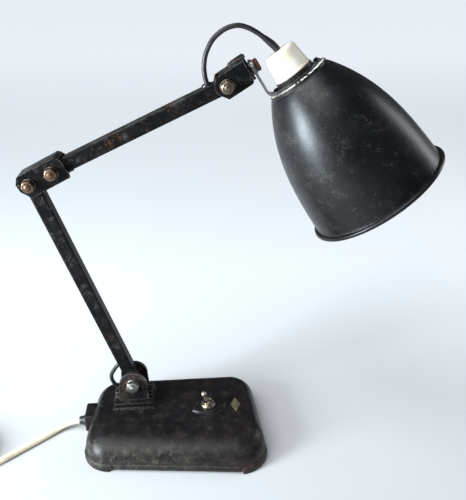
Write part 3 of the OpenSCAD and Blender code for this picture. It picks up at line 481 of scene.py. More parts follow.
def bracket_black():
    """Glossier black of the pivot bracket, rusted round the bolt."""
    made = Finish("bracket paint", (0.007, 0.007, 0.008), 0.20)
    made.over(made.group("patches", "Value", scale=60.0), (0.014, 0.013, 0.012), 0.36)
    x = maths(made.tree, "SUBTRACT", made.axis("X"), PIVOT["base_hinge"].x)
    z = maths(made.tree, "SUBTRACT", made.axis("Z"), PIVOT["base_hinge"].z)
    away = maths(made.tree, "ADD", maths(made.tree, "MULTIPLY", x, x), maths(made.tree, "MULTIPLY", z, z))
    near = ramped(made.tree, maths(made.tree, "SQRT", away), 0.019, 0.0105)
    stain = made.group("speckle", "Mask", scale=260.0, cover=0.72, softness=0.20, clumping=0.8)
    made.over(made.both(near, stain), (0.060, 0.026, 0.014), 0.72)
    foot = made.group("speckle", "Mask", scale=420.0, cover=0.30, softness=0.08, clumping=1.0)
    made.over(foot, colours().rust, 0.75)
    edge = made.group("worn edge", "Mask", radius=0.001, scale=240.0, amount=0.8)
    made.over(edge, (0.30, 0.27, 0.24), 0.42, 0.4)
    made.relief(made.group("grain", "Height", scale=600.0, swell=1.0), 0.00007, 0.5)
    return made.done()


def casting_paint():
    """Cast base: textured black paint, speckled apron, rust at the skirt and feet."""
    made = Finish("casting paint", colours().cast_paint, 0.25, 0.0, {"Specular IOR Level": 0.22})
    x, y, z = (made.axis(name) for name in "XYZ")
    brown = made.group("patches", "Value", scale=24.0, low=0.0, high=0.9)
    made.over(brown, (0.0088, 0.0066, 0.0068), 0.33)
    low = ramped(made.tree, z, 0.0315, 0.0235)
    front = ramped(made.tree, y, -0.012, -0.034)
    apron = made.both(made.both(low, front), ramped(made.tree, x, -0.02, 0.06, 1.0, 0.25))
    green = made.group("speckle", "Mask", scale=1400.0, cover=0.56, softness=0.16, clumping=0.35)
    made.over(made.both(apron, green), (0.034, 0.031, 0.025), 0.55)
    fleck = made.group("speckle", "Mask", scale=1900.0, cover=0.33, softness=0.06, clumping=0.45)
    made.over(made.both(apron, fleck), (0.110, 0.101, 0.080), 0.6)
    scatter = made.group("speckle", "Mask", scale=1300.0, cover=0.17, softness=0.05, clumping=0.6)
    made.over(scatter, (0.042, 0.032, 0.026), 0.55)
    right = ramped(made.tree, x, 0.045, 0.098)
    skirt = ramped(made.tree, z, 0.022, 0.003)
    rusty = maths(made.tree, "MAXIMUM", made.both(right, skirt), ramped(made.tree, z, 0.007, 0.0015))
    blot = made.group("speckle", "Mask", scale=300.0, cover=0.52, softness=0.2, clumping=0.9)
    made.over(made.both(rusty, blot), (0.060, 0.028, 0.016), 0.78)
    edge = made.group("worn edge", "Mask", radius=0.0016, scale=220.0, amount=0.5)
    made.over(edge, (0.10, 0.085, 0.075), 0.5)
    made.over(made.group("dust", "Mask", amount=0.05, scale=90.0), (0.15, 0.14, 0.13), 0.8)
    made.relief(made.group("grain", "Height", scale=400.0, swell=1.2), 0.00034, 0.75)
    made.relief(made.group("grain", "Height", scale=1300.0), 0.00007, 0.5)
    return made.done()


def old_metal(name, colour, rough, stain, cover, edge_colour=(0.55, 0.50, 0.42)):
    """Old bare metal with a stain over it and bright rubbed edges."""
    made = Finish(name, colour, rough, 1.0)
    made.over(made.group("patches", "Value", scale=180.0), tuple(0.6 * c for c in colour), rough + 0.15)
    spots = made.group("speckle", "Mask", scale=620.0, cover=cover, softness=0.14, clumping=0.8)
    made.over(spots, stain, 0.72, 0.25)
    edge = made.group("worn edge", "Mask", radius=0.0005, scale=500.0, amount=0.7)
    made.over(edge, edge_colour, 0.3, 1.0)
    made.relief(made.group("grain", "Height", scale=1500.0, swell=0.8), 0.00006, 0.6)
    return made.done()


def moulding(name, colour, rough=0.35, grime=(0.35, 0.27, 0.17), cover=0.14):
    """Old moulded plastic or ceramic with slight yellowing and grime."""
    made = Finish(name, colour, rough)
    yellow = tuple(c * k for c, k in zip(colour, (0.95, 0.88, 0.72)))
    made.over(made.group("patches", "Value", scale=70.0, low=0.0, high=0.7), yellow, rough + 0.12)
    made.over(made.group("speckle", "Mask", scale=700.0, cover=cover, softness=0.06), grime, 0.7)
    made.relief(made.group("grain", "Height", scale=900.0, swell=1.0), 0.00004, 0.4)
    return made.done()


def rubber(name, colour, rough=0.42, cloud=0.5):
    """Flexible sheath with slow dull clouds and fine grain."""
    made = Finish(name, colour, rough)
    paler = tuple(min(1.0, c * 1.25 + 0.012) for c in colour)
    made.over(made.group("patches", "Value", scale=60.0, low=0.0, high=cloud), paler, rough + 0.2)
    made.over(made.group("speckle", "Mask", scale=800.0, cover=0.12), tuple(0.55 * c for c in colour), 0.7)
    made.relief(made.group("grain", "Height", scale=1600.0, swell=0.6), 0.00003, 0.5)
    return made.done()


def felt_cloth():
    """Worn felt."""
    made = Finish("felt", colours().felt, 0.95)
    made.over(made.group("patches", "Value", scale=45.0), (0.10, 0.11, 0.08), 0.98)
    made.relief(made.group("grain", "Height", scale=1500.0, swell=0.7), 0.0004, 0.8)
    return made.done()


def pearl_glass():
    """Pearl bulb glass."""
    made = Finish("bulb glass", (0.90, 0.89, 0.86), 0.22, 0.0, {"Coat Weight": 0.4})
    made.over(made.group("patches", "Value", scale=40.0, low=0.0, high=0.5), (0.84, 0.82, 0.77), 0.3)
    return made.done()


FINISHES = {
    "enamel": enamel_outside,
    "inside": enamel_inside,
    "arms": lambda: satin_black("arm paint"),
    "channels": lambda: satin_black("channel paint", 0.95, 0.34, 0.30),
    "swivel plate": lambda: satin_black("swivel plate paint", 0.6, 0.60, 0.42),
    "bracket": bracket_black,
    "casting": casting_paint,
    "bright nut": lambda: old_metal("bright nut", (0.42, 0.41, 0.38), 0.30, (0.14, 0.09, 0.06), 0.34),
    "patina": lambda: old_metal("brown fitting", colours().patina, 0.38, (0.05, 0.028, 0.018), 0.46),
    "grey fitting": lambda: old_metal("grey fitting", (0.22, 0.165, 0.115), 0.36, (0.06, 0.036, 0.024), 0.46),
    "rusty": lambda: old_metal(
        "rusty fitting", (0.13, 0.075, 0.045), 0.55, (0.075, 0.03, 0.016), 0.72, (0.30, 0.22, 0.16)
    ),
    "dark steel": lambda: old_metal("dark steel", (0.07, 0.065, 0.06), 0.42, (0.04, 0.026, 0.02), 0.4),
    "strap": strap_black,
    "plated": lambda: old_metal("plated steel", (0.40, 0.38, 0.35), 0.40, (0.12, 0.08, 0.05), 0.4),
    "nickel": lambda: old_metal("worn nickel", colours().nickel, 0.26, (0.10, 0.075, 0.045), 0.36),
    "brass": lambda: old_metal("tarnished brass", colours().brass, 0.42, (0.09, 0.065, 0.045), 0.55),
    "pin brass": lambda: old_metal("pin brass", (0.62, 0.47, 0.22), 0.28, (0.25, 0.17, 0.08), 0.25),
    "cream": lambda: moulding("cream moulding", colours().cream),
    "plug": lambda: moulding("plug moulding", (0.80, 0.78, 0.71), 0.42),
    "brown moulding": lambda: moulding("brown moulding", (0.045, 0.022, 0.014), 0.3, (0.10, 0.08, 0.06), 0.3),
    "dark moulding": lambda: moulding("dark moulding", (0.018, 0.014, 0.012), 0.3, (0.09, 0.08, 0.07), 0.3),
    "red core": lambda: moulding("core sheath", (0.22, 0.02, 0.015), 0.4, (0.1, 0.02, 0.02)),
    "rubber": lambda: rubber("black rubber", colours().rubber, 0.34),
    "cream flex": lambda: rubber("cream flex", colours().cream_flex, 0.48, 0.8),
    "tie": lambda: rubber("tie", (0.05, 0.05, 0.052), 0.5),
    "fibre": lambda: rubber("fibre", colours().fibre, 0.7),
    "felt": felt_cloth,
    "bulb": pearl_glass,
}
_made_finishes = {}


def finish_of(key):
    """Material of a finish, made once."""
    if key not in _made_finishes:
        _made_finishes[key] = FINISHES[key]()
    return _made_finishes[key]


# ---------- mesh helpers ----------


def link(name, mesh, key=None):
    """Object at the origin with that mesh and finish."""
    made = bpy.data.objects.new(name, mesh)
    bpy.context.scene.collection.objects.link(made)
    if key:
        made.data.materials.clear()
        made.data.materials.append(finish_of(key))
    return made


def smooth_by_angle(mesh, degrees=32.0):
    """Smooth shading with edges sharper than the angle kept crisp."""
    mesh.shade_smooth()
    mesh.set_sharp_from_angle(angle=math.radians(degrees))


def mesh_from(name, build, matrix=None, outward=True, crisp=32.0):
    """Mesh that a function draws into a bmesh, in metres, with its faces outwards."""
    form = bmesh.new()
    build(form)
    if outward:
        bmesh.ops.recalc_face_normals(form, faces=form.faces)
    if matrix is not None:
        form.transform(matrix)
        if matrix.determinant() < 0:
            bmesh.ops.reverse_faces(form, faces=form.faces)
    mesh = bpy.data.meshes.new(name)
    form.to_mesh(mesh)
    form.free()
    smooth_by_angle(mesh, crisp)
    return mesh


def joined(name, parts, key):
    """One object from several objects."""
    form = bmesh.new()
    for part in parts:
        form.from_mesh(part.data)
    mesh = bpy.data.meshes.new(name)
    form.to_mesh(mesh)
    form.free()
    for part in parts:
        bpy.data.objects.remove(part)
    smooth_by_angle(mesh)
    return link(name, mesh, key)


def settle(piece, body, node, *others):
    """Piece rides on a body and stands for its CAD nodes."""
    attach(piece, body)
    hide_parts(node, *others)
    return piece


def body_of_node(node):
    """CAD body that a node rides on."""
    bodies = frame["record"]["behaviour"]["bodies"]
    return next(body for body, nodes in bodies.items() if node in nodes)


def bend_at(vert):
    """Angle between the two edges that meet at a corner, 0 when they run straight on."""
    before, after = (edge.other_vert(vert).co for edge in vert.link_edges)
    return (before - vert.co).angle(vert.co - after, 0)


def refined(node, key, rounding=0.0, crisp=24.0):
    """Copy of a CAD node with merged corners, softened edges and its finish."""
    form = bmesh.new()
    form.from_mesh(frame["nodes"][node].data)
    bmesh.ops.remove_doubles(form, verts=form.verts, dist=2e-6)
    if rounding:
        flat = [e for e in form.edges if len(e.link_faces) == 2 and e.calc_face_angle(0) < math.radians(0.4)]
        bmesh.ops.dissolve_edges(form, edges=flat, use_verts=False)
        straight = [v for v in form.verts if len(v.link_edges) == 2]
        straight = [v for v in straight if bend_at(v) < 0.01]
        bmesh.ops.dissolve_verts(form, verts=straight)
        sharp = [
            e
            for e in form.edges
            if len(e.link_faces) == 2 and e.calc_face_angle(0) > math.radians(25)
        ]
        bmesh.ops.bevel(
            form,
            geom=sharp,
            offset=rounding,
            offset_type="OFFSET",
            segments=2,
            profile=0.5,
            affect="EDGES",
            clamp_overlap=True,
        )
    mesh = bpy.data.meshes.new(node + "_finished")
    form.to_mesh(mesh)
    form.free()
    smooth_by_angle(mesh, crisp)
    piece = link(node + "_finished", mesh, key)
    return settle(piece, body_of_node(node), node)


def repaint(node, key):
    """Better material on a CAD node whose shape is right."""
    made = frame["nodes"][node]
    made.data.materials.clear()
    made.data.materials.append(finish_of(key))
    return made


def catmull(points, steps):
    """Smooth curve through points, with that many steps to each."""
    p = [Vector(q) for q in points]
    out = []
    for i in range(len(p) - 1):
        a, b, c, d = p[max(i - 1, 0)], p[i], p[i + 1], p[min(i + 2, len(p) - 1)]
        for k in range(steps):
            t = k / steps
            out.append(
                0.5
                * (
                    2 * b
                    + (c - a) * t
                    + (2 * a - 5 * b + 4 * c - d) * t * t
                    + (3 * b - 3 * c + d - a) * t * t * t
                )
            )
    return out + [p[-1]]


def sweep(path, radii, sides=20, closed=False):
    """Function that draws a round tube along a path into a bmesh."""

    def build(form):
        count = len(path)
        side = None
        rings = []
        for i, point in enumerate(path):
            ahead = path[(i + 1) % count] if closed else path[min(i + 1, count - 1)]
            behind = path[i - 1] if closed or i else path[0]
            run = (ahead - behind).normalized()
            if side is None:
                side = run.orthogonal().normalized()
            side = (side - run * side.dot(run)).normalized()
            up = run.cross(side)
            r = radii[i] if hasattr(radii, "__len__") else radii
            turns = [2 * math.pi * k / sides for k in range(sides)]
            rings.append([form.verts.new(point + r * (math.cos(t) * side + math.sin(t) * up)) for t in turns])
        pairs = zip(rings, rings[1:] + rings[:1]) if closed else zip(rings, rings[1:])
        for a, b in pairs:
            for k in range(sides):
                form.faces.new((a[k], a[(k + 1) % sides], b[(k + 1) % sides], b[k]))
        if not closed:
            form.faces.new(rings[0])
            form.faces.new(rings[-1])

    return build


def prism(outline, low, high, rounding=0.0, segments=3):
    """Function that draws an upright prism in millimetres, with rounded edges."""

    def build(form):
        bottom = [form.verts.new((x * MM, y * MM, low * MM)) for x, y in outline]
        top = [form.verts.new((x * MM, y * MM, high * MM)) for x, y in outline]
        form.faces.new(bottom)
        form.faces.new(top)
        for k in range(len(outline)):
            n = (k + 1) % len(outline)
            form.faces.new((bottom[k], bottom[n], top[n], top[k]))
        bmesh.ops.recalc_face_normals(form, faces=form.faces)
        if rounding:
            sharp = [e for e in form.edges if e.calc_face_angle(0) > math.radians(20)]
            bmesh.ops.bevel(
                form, geom=sharp, offset=rounding * MM, segments=segments, profile=0.5, affect="EDGES"
            )

    return build


# ---------- geometry nodes ----------


def geometry_group(name, sockets):
    """Empty geometry tree with a Geometry input and output and named inputs."""
    tree = bpy.data.node_groups.new(name, "GeometryNodeTree")
    tree.interface.new_socket("Geometry", in_out="INPUT", socket_type="NodeSocketGeometry")
    for label, (kind, default) in sockets.items():
        socket = tree.interface.new_socket(label, in_out="INPUT", socket_type=kind)
        if default is not None:
            socket.default_value = default
    tree.interface.new_socket("Geometry", in_out="OUTPUT", socket_type="NodeSocketGeometry")
    return tree, tree.nodes.new("NodeGroupInput").outputs, tree.nodes.new("NodeGroupOutput").inputs


def spin_tree():
    """Turns a profile in the XZ plane about Z, as on a spinning lathe."""
    tree, given, out = geometry_group(
        "Lamp spin",
        {"Around": ("NodeSocketInt", 96), "Finish": ("NodeSocketMaterial", None)},
    )
    count = put(tree, "GeometryNodeAttributeDomainSize", {"Geometry": given["Geometry"]})
    along = count.outputs["Point Count"]
    columns = put(tree, "ShaderNodeMath", {0: given["Around"], 1: 1.0}, operation="ADD").outputs[0]
    grid = put(
        tree,
        "GeometryNodeMeshGrid",
        {
            "Size X": put(tree, "ShaderNodeMath", {0: columns, 1: 1.0}, operation="SUBTRACT").outputs[0],
            "Size Y": put(tree, "ShaderNodeMath", {0: along, 1: 1.0}, operation="SUBTRACT").outputs[0],
            "Vertices X": columns,
            "Vertices Y": along,
        },
    )
    place = put(tree, "GeometryNodeInputPosition").outputs["Position"]
    split = put(tree, "ShaderNodeSeparateXYZ", {"Vector": place})
    half = put(tree, "ShaderNodeMath", {0: given["Around"], 1: 0.5}, operation="MULTIPLY").outputs[0]
    column = put(tree, "ShaderNodeMath", {0: split.outputs["X"], 1: half}, operation="ADD").outputs[0]
    last = put(tree, "ShaderNodeMath", {0: along, 1: 1.0}, operation="SUBTRACT").outputs[0]
    half_row = put(tree, "ShaderNodeMath", {0: last, 1: 0.5}, operation="MULTIPLY").outputs[0]
    row = put(tree, "ShaderNodeMath", {0: split.outputs["Y"], 1: half_row}, operation="ADD").outputs[0]
    row = put(tree, "ShaderNodeMath", {0: row}, operation="ROUND").outputs[0]
    sample = put(tree, "GeometryNodeSampleIndex", data_type="FLOAT_VECTOR", domain="POINT")
    tree.links.new(given["Geometry"], sample.inputs["Geometry"])
    tree.links.new(place, sample.inputs["Value"])
    tree.links.new(row, sample.inputs["Index"])
    profile = put(tree, "ShaderNodeSeparateXYZ", {"Vector": sample.outputs["Value"]})
    share = put(tree, "ShaderNodeMath", {0: column, 1: given["Around"]}, operation="DIVIDE").outputs[0]
    angle = put(tree, "ShaderNodeMath", {0: share, 1: 2 * math.pi}, operation="MULTIPLY").outputs[0]
    cosine = put(tree, "ShaderNodeMath", {0: angle}, operation="COSINE").outputs[0]
    sine = put(tree, "ShaderNodeMath", {0: angle}, operation="SINE").outputs[0]
    x = put(tree, "ShaderNodeMath", {0: profile.outputs["X"], 1: cosine}, operation="MULTIPLY").outputs[0]
    y = put(tree, "ShaderNodeMath", {0: profile.outputs["X"], 1: sine}, operation="MULTIPLY").outputs[0]
    spot = put(tree, "ShaderNodeCombineXYZ", {"X": x, "Y": y, "Z": profile.outputs["Z"]}).outputs[0]
    inputs = {"Geometry": grid.outputs["Mesh"], "Position": spot}
    turned = put(tree, "GeometryNodeSetPosition", inputs).outputs["Geometry"]
    merged = put(tree, "GeometryNodeMergeByDistance", {"Geometry": turned, "Distance": 1e-6})
    real = put(tree, "GeometryNodeRealizeInstances", {"Geometry": merged.outputs["Geometry"]})
    inputs = {"Geometry": real.outputs["Geometry"], "Material": given["Finish"]}
    done = put(tree, "GeometryNodeSetMaterial", inputs).outputs["Geometry"]
    tree.links.new(done, out["Geometry"])
    return tree


def copies_tree():
    """Places copies of one object on the given points, each turned about its own Y axis by chance."""
    tree, given, out = geometry_group(
        "Lamp copies",
        {
            "Master": ("NodeSocketObject", None),
            "Seed": ("NodeSocketInt", 3),
            "Finish": ("NodeSocketMaterial", None),
        },
    )
    info = put(tree, "GeometryNodeObjectInfo", {"Object": given["Master"]})
    chance = put(tree, "FunctionNodeRandomValue", {"Seed": given["Seed"]}, data_type="FLOAT")
    for socket, value in (("Min", 0.0), ("Max", math.pi / 3)):
        next(i for i in chance.inputs if i.name == socket and i.enabled).default_value = value
    value = next(o for o in chance.outputs if o.enabled)
    turn = put(tree, "ShaderNodeCombineXYZ", {"Y": value}).outputs[0]
    spread = put(
        tree,
        "GeometryNodeInstanceOnPoints",
        {"Points": given["Geometry"], "Instance": info.outputs["Geometry"], "Rotation": turn},
    )
    real = put(tree, "GeometryNodeRealizeInstances", {"Geometry": spread.outputs["Instances"]})
    inputs = {"Geometry": real.outputs["Geometry"], "Material": given["Finish"]}
    done = put(tree, "GeometryNodeSetMaterial", inputs).outputs["Geometry"]
    tree.links.new(done, out["Geometry"])
    return tree


def ring_tree():
    """Sets copies of a small rounded block round a circle about Z: ribs, notches or beading."""
    tree, given, out = geometry_group(
        "Lamp ring of ribs",
        {
            "Count": ("NodeSocketInt", 24),
            "Radius": ("NodeSocketFloat", 0.01),
            "Height": ("NodeSocketFloat", 0.0),
            "Size": ("NodeSocketVector", (0.001, 0.001, 0.001)),
            "Finish": ("NodeSocketMaterial", None),
        },
    )
    circle = put(tree, "GeometryNodeMeshCircle", {"Vertices": given["Count"], "Radius": given["Radius"]})
    lift = put(tree, "ShaderNodeCombineXYZ", {"Z": given["Height"]}).outputs[0]
    inputs = {"Geometry": circle.outputs["Mesh"], "Offset": lift}
    lifted = put(tree, "GeometryNodeSetPosition", inputs).outputs["Geometry"]
    place = put(tree, "GeometryNodeInputPosition").outputs["Position"]
    facing = put(tree, "FunctionNodeAlignRotationToVector", {"Vector": place}, axis="X", pivot_axis="Z")
    block = put(
        tree,
        "GeometryNodeMeshCube",
        {"Size": given["Size"], "Vertices X": 2, "Vertices Y": 2, "Vertices Z": 2},
    )
    spread = put(
        tree,
        "GeometryNodeInstanceOnPoints",
        {"Points": lifted, "Instance": block.outputs["Mesh"], "Rotation": facing.outputs["Rotation"]},
    )
    real = put(tree, "GeometryNodeRealizeInstances", {"Geometry": spread.outputs["Instances"]})
    inputs = {"Geometry": real.outputs["Geometry"], "Material": given["Finish"]}
    done = put(tree, "GeometryNodeSetMaterial", inputs).outputs["Geometry"]
    tree.links.new(done, out["Geometry"])
    return tree


TREE_MAKERS = {"Lamp spin": spin_tree, "Lamp copies": copies_tree, "Lamp ring of ribs": ring_tree}


def grown(name, source, tree_name, values, matrix=None, crisp=32.0):
    """Plain mesh object that a geometry tree makes from a source mesh."""
    tree = bpy.data.node_groups.get(tree_name) or TREE_MAKERS[tree_name]()
    carrier = bpy.data.objects.new(name + "_source", source)
    bpy.context.scene.collection.objects.link(carrier)
    modifier = carrier.modifiers.new("made", "NODES")
    modifier.node_group = tree
    for item in tree.interface.items_tree:
        if item.in_out == "INPUT" and item.name in values:
            modifier[item.identifier] = values[item.name]
    bpy.context.view_layer.update()
    depsgraph = bpy.context.evaluated_depsgraph_get()
    mesh = bpy.data.meshes.new_from_object(carrier.evaluated_get(depsgraph), depsgraph=depsgraph)
    mesh.name = name
    carrier.modifiers.remove(modifier)
    bpy.data.objects.remove(carrier)
    form = bmesh.new()
    form.from_mesh(mesh)
    bmesh.ops.remove_doubles(form, verts=form.verts, dist=1e-6)
    bmesh.ops.recalc_face_normals(form, faces=form.faces)
    if matrix is not None:
        form.transform(matrix)
    form.to_mesh(mesh)
    form.free()
    smooth_by_angle(mesh, crisp)
    made = bpy.data.objects.new(name, mesh)
    bpy.context.scene.collection.objects.link(made)
    return made


def line_mesh(name, points):
    """Mesh of loose points, which the trees read as a profile or as places."""
    mesh = bpy.data.meshes.new(name)
    mesh.from_pydata([tuple(p) for p in points], [], [])
    return mesh


def spun(name, profile, key, matrix=None, around=96, crisp=32.0):
    """Turned piece from a profile of (radius, height) in millimetres."""
    points = [(r * MM, 0, z * MM) for r, z in profile]
    values = {"Around": around, "Finish": finish_of(key)}
    made = grown(name, line_mesh(name + "_profile", points), "Lamp spin", values, matrix, crisp)
    made.data.materials.clear()
    made.data.materials.append(finish_of(key))
    return made


def rounded_profile(corners, radius, steps=4):
    """Profile through corners, in millimetres, with each inner corner rounded off."""
    out = [Vector(corners[0])]
    for before, corner, after in zip(corners, corners[1:], corners[2:]):
        b, c, a = Vector(before), Vector(corner), Vector(after)
        reach = min(radius, (b - c).length * 0.45, (a - c).length * 0.45)
        start = c + (b - c).normalized() * reach
        end = c + (a - c).normalized() * reach
        for k in range(steps + 1):
            t = k / steps
            out.append((1 - t) ** 2 * start + 2 * t * (1 - t) * c + t * t * end)
    return [tuple(v) for v in [*out, Vector(corners[-1])]]


# ---------- fittings ----------


def hex_form(across, thick, both=True, steps=84):
    """Function that draws a chamfered hexagon nut or head about Z, in millimetres."""

    def build(form):
        crown = across / 2 - 0.35
        slope = 0.55
        levels = [0.0, 0.12, 0.25, 0.4, 0.6, 0.85]
        heights = sorted({*(levels if both else [0.0]), *(thick - v for v in levels)})
        rings = []
        for z in heights:
            into = min(z, thick - z) if both else thick - z
            cone = crown + into / slope
            ring = []
            for k in range(steps):
                t = 2 * math.pi * k / steps
                side = (t + math.pi / 6) % (math.pi / 3) - math.pi / 6
                r = min(across / 2 / math.cos(side), cone)
                ring.append(form.verts.new((r * math.cos(t) * MM, r * math.sin(t) * MM, z * MM)))
            rings.append(ring)
        for a, b in zip(rings, rings[1:]):
            for k in range(steps):
                n = (k + 1) % steps
                form.faces.new((a[k], a[n], b[n], b[k]))
        form.faces.new(rings[0])
        form.faces.new(rings[-1])

    return build


def washer_profile(outer, inner, low, high, rounding=0.25):
    """Closed profile of a flat washer with softened rims."""
    r = rounding
    return [
        (inner, low),
        (outer - r, low),
        (outer, low + r),
        (outer, high - r),
        (outer - r, high),
        (inner, high),
        (inner, low),
    ]


def stud_profile(radius, low, high, dome=0.9):
    """Profile of a bolt's plain end with a domed tip."""
    cap = [(radius * math.cos(t), high - dome + dome * math.sin(t)) for t in np.linspace(0, math.pi / 2, 7)]
    return [(0, low), (radius, low), *cap[:-1], (0, high)]


def pivot_fittings(prefix, matrices, body, nodes, keys, half, nut_across, washer_radius):
    """Bolt, nut and washers through one or more pivots, facing the front."""
    nut_thick, washer_thick, stud_over, head_thick, bolt_radius = 5.6, 1.2, 1.8, 4.4, 3.17
    front = half + washer_thick
    centres = line_mesh(prefix + "_places", [m.translation for m in matrices])
    turn = Matrix.Rotation(math.radians(90), 4, "X")

    def master(label, builds):
        form = bmesh.new()
        for build, place in builds:
            part = mesh_from(label, build, turn @ at(0, 0, place))
            form.from_mesh(part)
        mesh = bpy.data.meshes.new(label)
        form.to_mesh(mesh)
        form.free()
        made = link(label, mesh)
        return made

    def spread(label, source, key, node, others=()):
        values = {"Master": source, "Seed": len(label), "Finish": finish_of(key)}
        made = grown(label, centres.copy(), "Lamp copies", values)
        made.data.materials.clear()
        made.data.materials.append(finish_of(key))
        bpy.data.objects.remove(source)
        return settle(made, body, node, *others)

    def turned(profile):
        def build(form):
            points = [form.verts.new((r * MM, 0, z * MM)) for r, z in profile]
            edges = [form.edges.new(pair) for pair in zip(points, points[1:])]
            geometry = [*points, *edges]
            bmesh.ops.spin(form, geom=geometry, axis=(0, 0, 1), cent=(0, 0, 0), steps=48, angle=2 * math.pi)
            bmesh.ops.remove_doubles(form, verts=form.verts, dist=1e-6)

        return build

    stud = turned(stud_profile(bolt_radius, -half - washer_thick, front + nut_thick + stud_over))
    head = hex_form(nut_across, head_thick)
    spread(
        prefix + "_bolt_finished",
        master("m_bolt", [(stud, 0), (head, -half - washer_thick - head_thick)]),
        keys[0],
        nodes[0],
    )
    collar = turned([(bolt_radius, 0), (bolt_radius + 2.4, 0), (bolt_radius + 1.6, 0.5), (bolt_radius, 0.5)])
    near = turned(washer_profile(washer_radius, bolt_radius, half, front))
    far = turned(washer_profile(washer_radius, bolt_radius, -front, -half))
    washers = [(near, 0), (far, 0)]
    nut = [(hex_form(nut_across, nut_thick), front), (collar, front + nut_thick - 0.1)]
    if len(nodes) > 2:
        spread(prefix + "_washers_finished", master("m_washers", washers), keys[2], nodes[2])
    else:
        nut += washers
    spread(prefix + "_nut_finished", master("m_nut", nut), keys[1], nodes[1])


# ---------- base casting ----------

LEN_FRONT, LEN_BACK, DEPTH_LEFT, DEPTH_RIGHT, BACK_SHIFT = 204.0, 195.0, 120.0, 142.0, 11.0
CORNER_R, SIDE_SHOULDER, FRONT_SHOULDER = 32.0, 14.0, 34.0
SKIRT_Z, RIDGE_Z, RIDGE_STEP, CAST_WALL = 3.0, 9.0, 1.3, 6.0


def half_depth(x):
    """Half the casting's depth at a place along it."""
    return (DEPTH_LEFT + DEPTH_RIGHT) / 4 + (DEPTH_RIGHT - DEPTH_LEFT) / 2 * x / LEN_FRONT


def half_length(y):
    """Half the casting's length at a place across it."""
    return (LEN_FRONT + LEN_BACK) / 4 - (LEN_FRONT - LEN_BACK) / 4 * y / half_depth(0)


def corner_centre(sx, sy, side_in, front_in, r):
    """Centre of one corner arc of the outline, drawn in by the given amounts."""
    y_in = front_in if sy < 0 else side_in
    x = half_length(sy * half_depth(0)) - side_in - r
    middle = BACK_SHIFT / 2 * (1 - 2 * sx * x / LEN_FRONT)
    return sx * x, sy * (half_depth(sx * x) - y_in - r) + middle


def outline(side_in, front_in, r, arc_steps=22, side_steps=16):
    """Closed plan outline with the same number of points whatever its size."""
    order = [(1, -1), (1, 1), (-1, 1), (-1, -1)]
    centres = [corner_centre(sx, sy, side_in, front_in, r) for sx, sy in order]
    normals = []
    for k in range(4):
        a, b = Vector(centres[k]), Vector(centres[(k + 1) % 4])
        run = (b - a).normalized()
        normals.append(math.atan2(-run.x, run.y))
    points = []
    for k in range(4):
        start, end = normals[k - 1], normals[k]
        while end < start:
            end += 2 * math.pi
        c = centres[k]
        for i in range(arc_steps + 1):
            t = start + (end - start) * i / arc_steps
            points.append((c[0] + r * math.cos(t), c[1] + r * math.sin(t)))
        nxt = centres[(k + 1) % 4]
        last = Vector(points[-1])
        first = Vector((nxt[0] + r * math.cos(end), nxt[1] + r * math.sin(end)))
        for i in range(1, side_steps):
            points.append(tuple(last.lerp(first, i / side_steps)))
    return points


def dome_levels(inset, low, high, steps):
    """Outline insets and heights up the domed block."""
    levels = []
    for k in range(steps + 1):
        t = math.pi / 2 * k / steps
        run = 1 - math.cos(t)
        side = inset + SIDE_SHOULDER * run
        z = low + (high - low) * math.sin(t)
        levels.append((side, inset + FRONT_SHOULDER * run, CORNER_R - side, z))
    return levels


def casting_shell(form):
    """Draws the hollow domed block with its flanged skirt."""
    outer = [
        (0.7, 0.7, CORNER_R - 0.7, SKIRT_Z),
        (0.15, 0.15, CORNER_R - 0.15, SKIRT_Z + 0.5),
        (0.0, 0.0, CORNER_R, SKIRT_Z + 1.4),
        (0.0, 0.0, CORNER_R, RIDGE_Z - 1.3),
        (0.2, 0.2, CORNER_R - 0.2, RIDGE_Z - 0.5),
        (0.7, 0.7, CORNER_R - 0.7, RIDGE_Z),
        (RIDGE_STEP, RIDGE_STEP, CORNER_R - RIDGE_STEP, RIDGE_Z + 0.35),
    ]
    outer += dome_levels(RIDGE_STEP + 0.05, RIDGE_Z + 1, BASE_TOP, 22)
    inner = dome_levels(CAST_WALL, RIDGE_Z, BASE_TOP - CAST_WALL, 8)[::-1]
    inner += [(CAST_WALL, CAST_WALL, CORNER_R - CAST_WALL, SKIRT_Z)]
    wave = sizes().cast_wave

    def ring(points, z, shrink=0.0, lively=True):
        centre = np.mean(points, axis=0)
        made = []
        for x, y in points:
            x, y = x + (centre[0] - x) * shrink, y + (centre[1] - y) * shrink
            spot = Vector((x, y, z))
            if lively:
                spot += Vector((0, 0, wave / MM * noise.fractal(spot * 0.05, 1.0, 2.0, 3)))
            made.append(form.verts.new(spot * MM))
        return made

    def bridge(a, b):
        for k in range(len(a)):
            n = (k + 1) % len(a)
            form.faces.new((a[k], a[n], b[n], b[k]))

    def cap(points, z, lively):
        rings = [ring(points, z, s, lively) for s in (0.15, 0.3, 0.45, 0.6, 0.75, 0.9)]
        for a, b in zip(rings, rings[1:]):
            bridge(a, b)
        form.faces.new(rings[-1])
        return rings[0]

    top_points = outline(*outer[-1][:3])
    rings = [ring(outline(*level[:3]), level[3], 0.0, level[3] > RIDGE_Z + 2) for level in outer]
    for a, b in zip(rings, rings[1:]):
        bridge(a, b)
    bridge(rings[-1], cap(top_points, outer[-1][3], True))
    hollow = [ring(outline(*level[:3]), level[3], 0.0, False) for level in inner]
    for a, b in zip(hollow, hollow[1:]):
        bridge(a, b)
    bridge(hollow[0], cap(outline(*inner[0][:3]), inner[0][3], False))
    bridge(rings[0], hollow[-1])


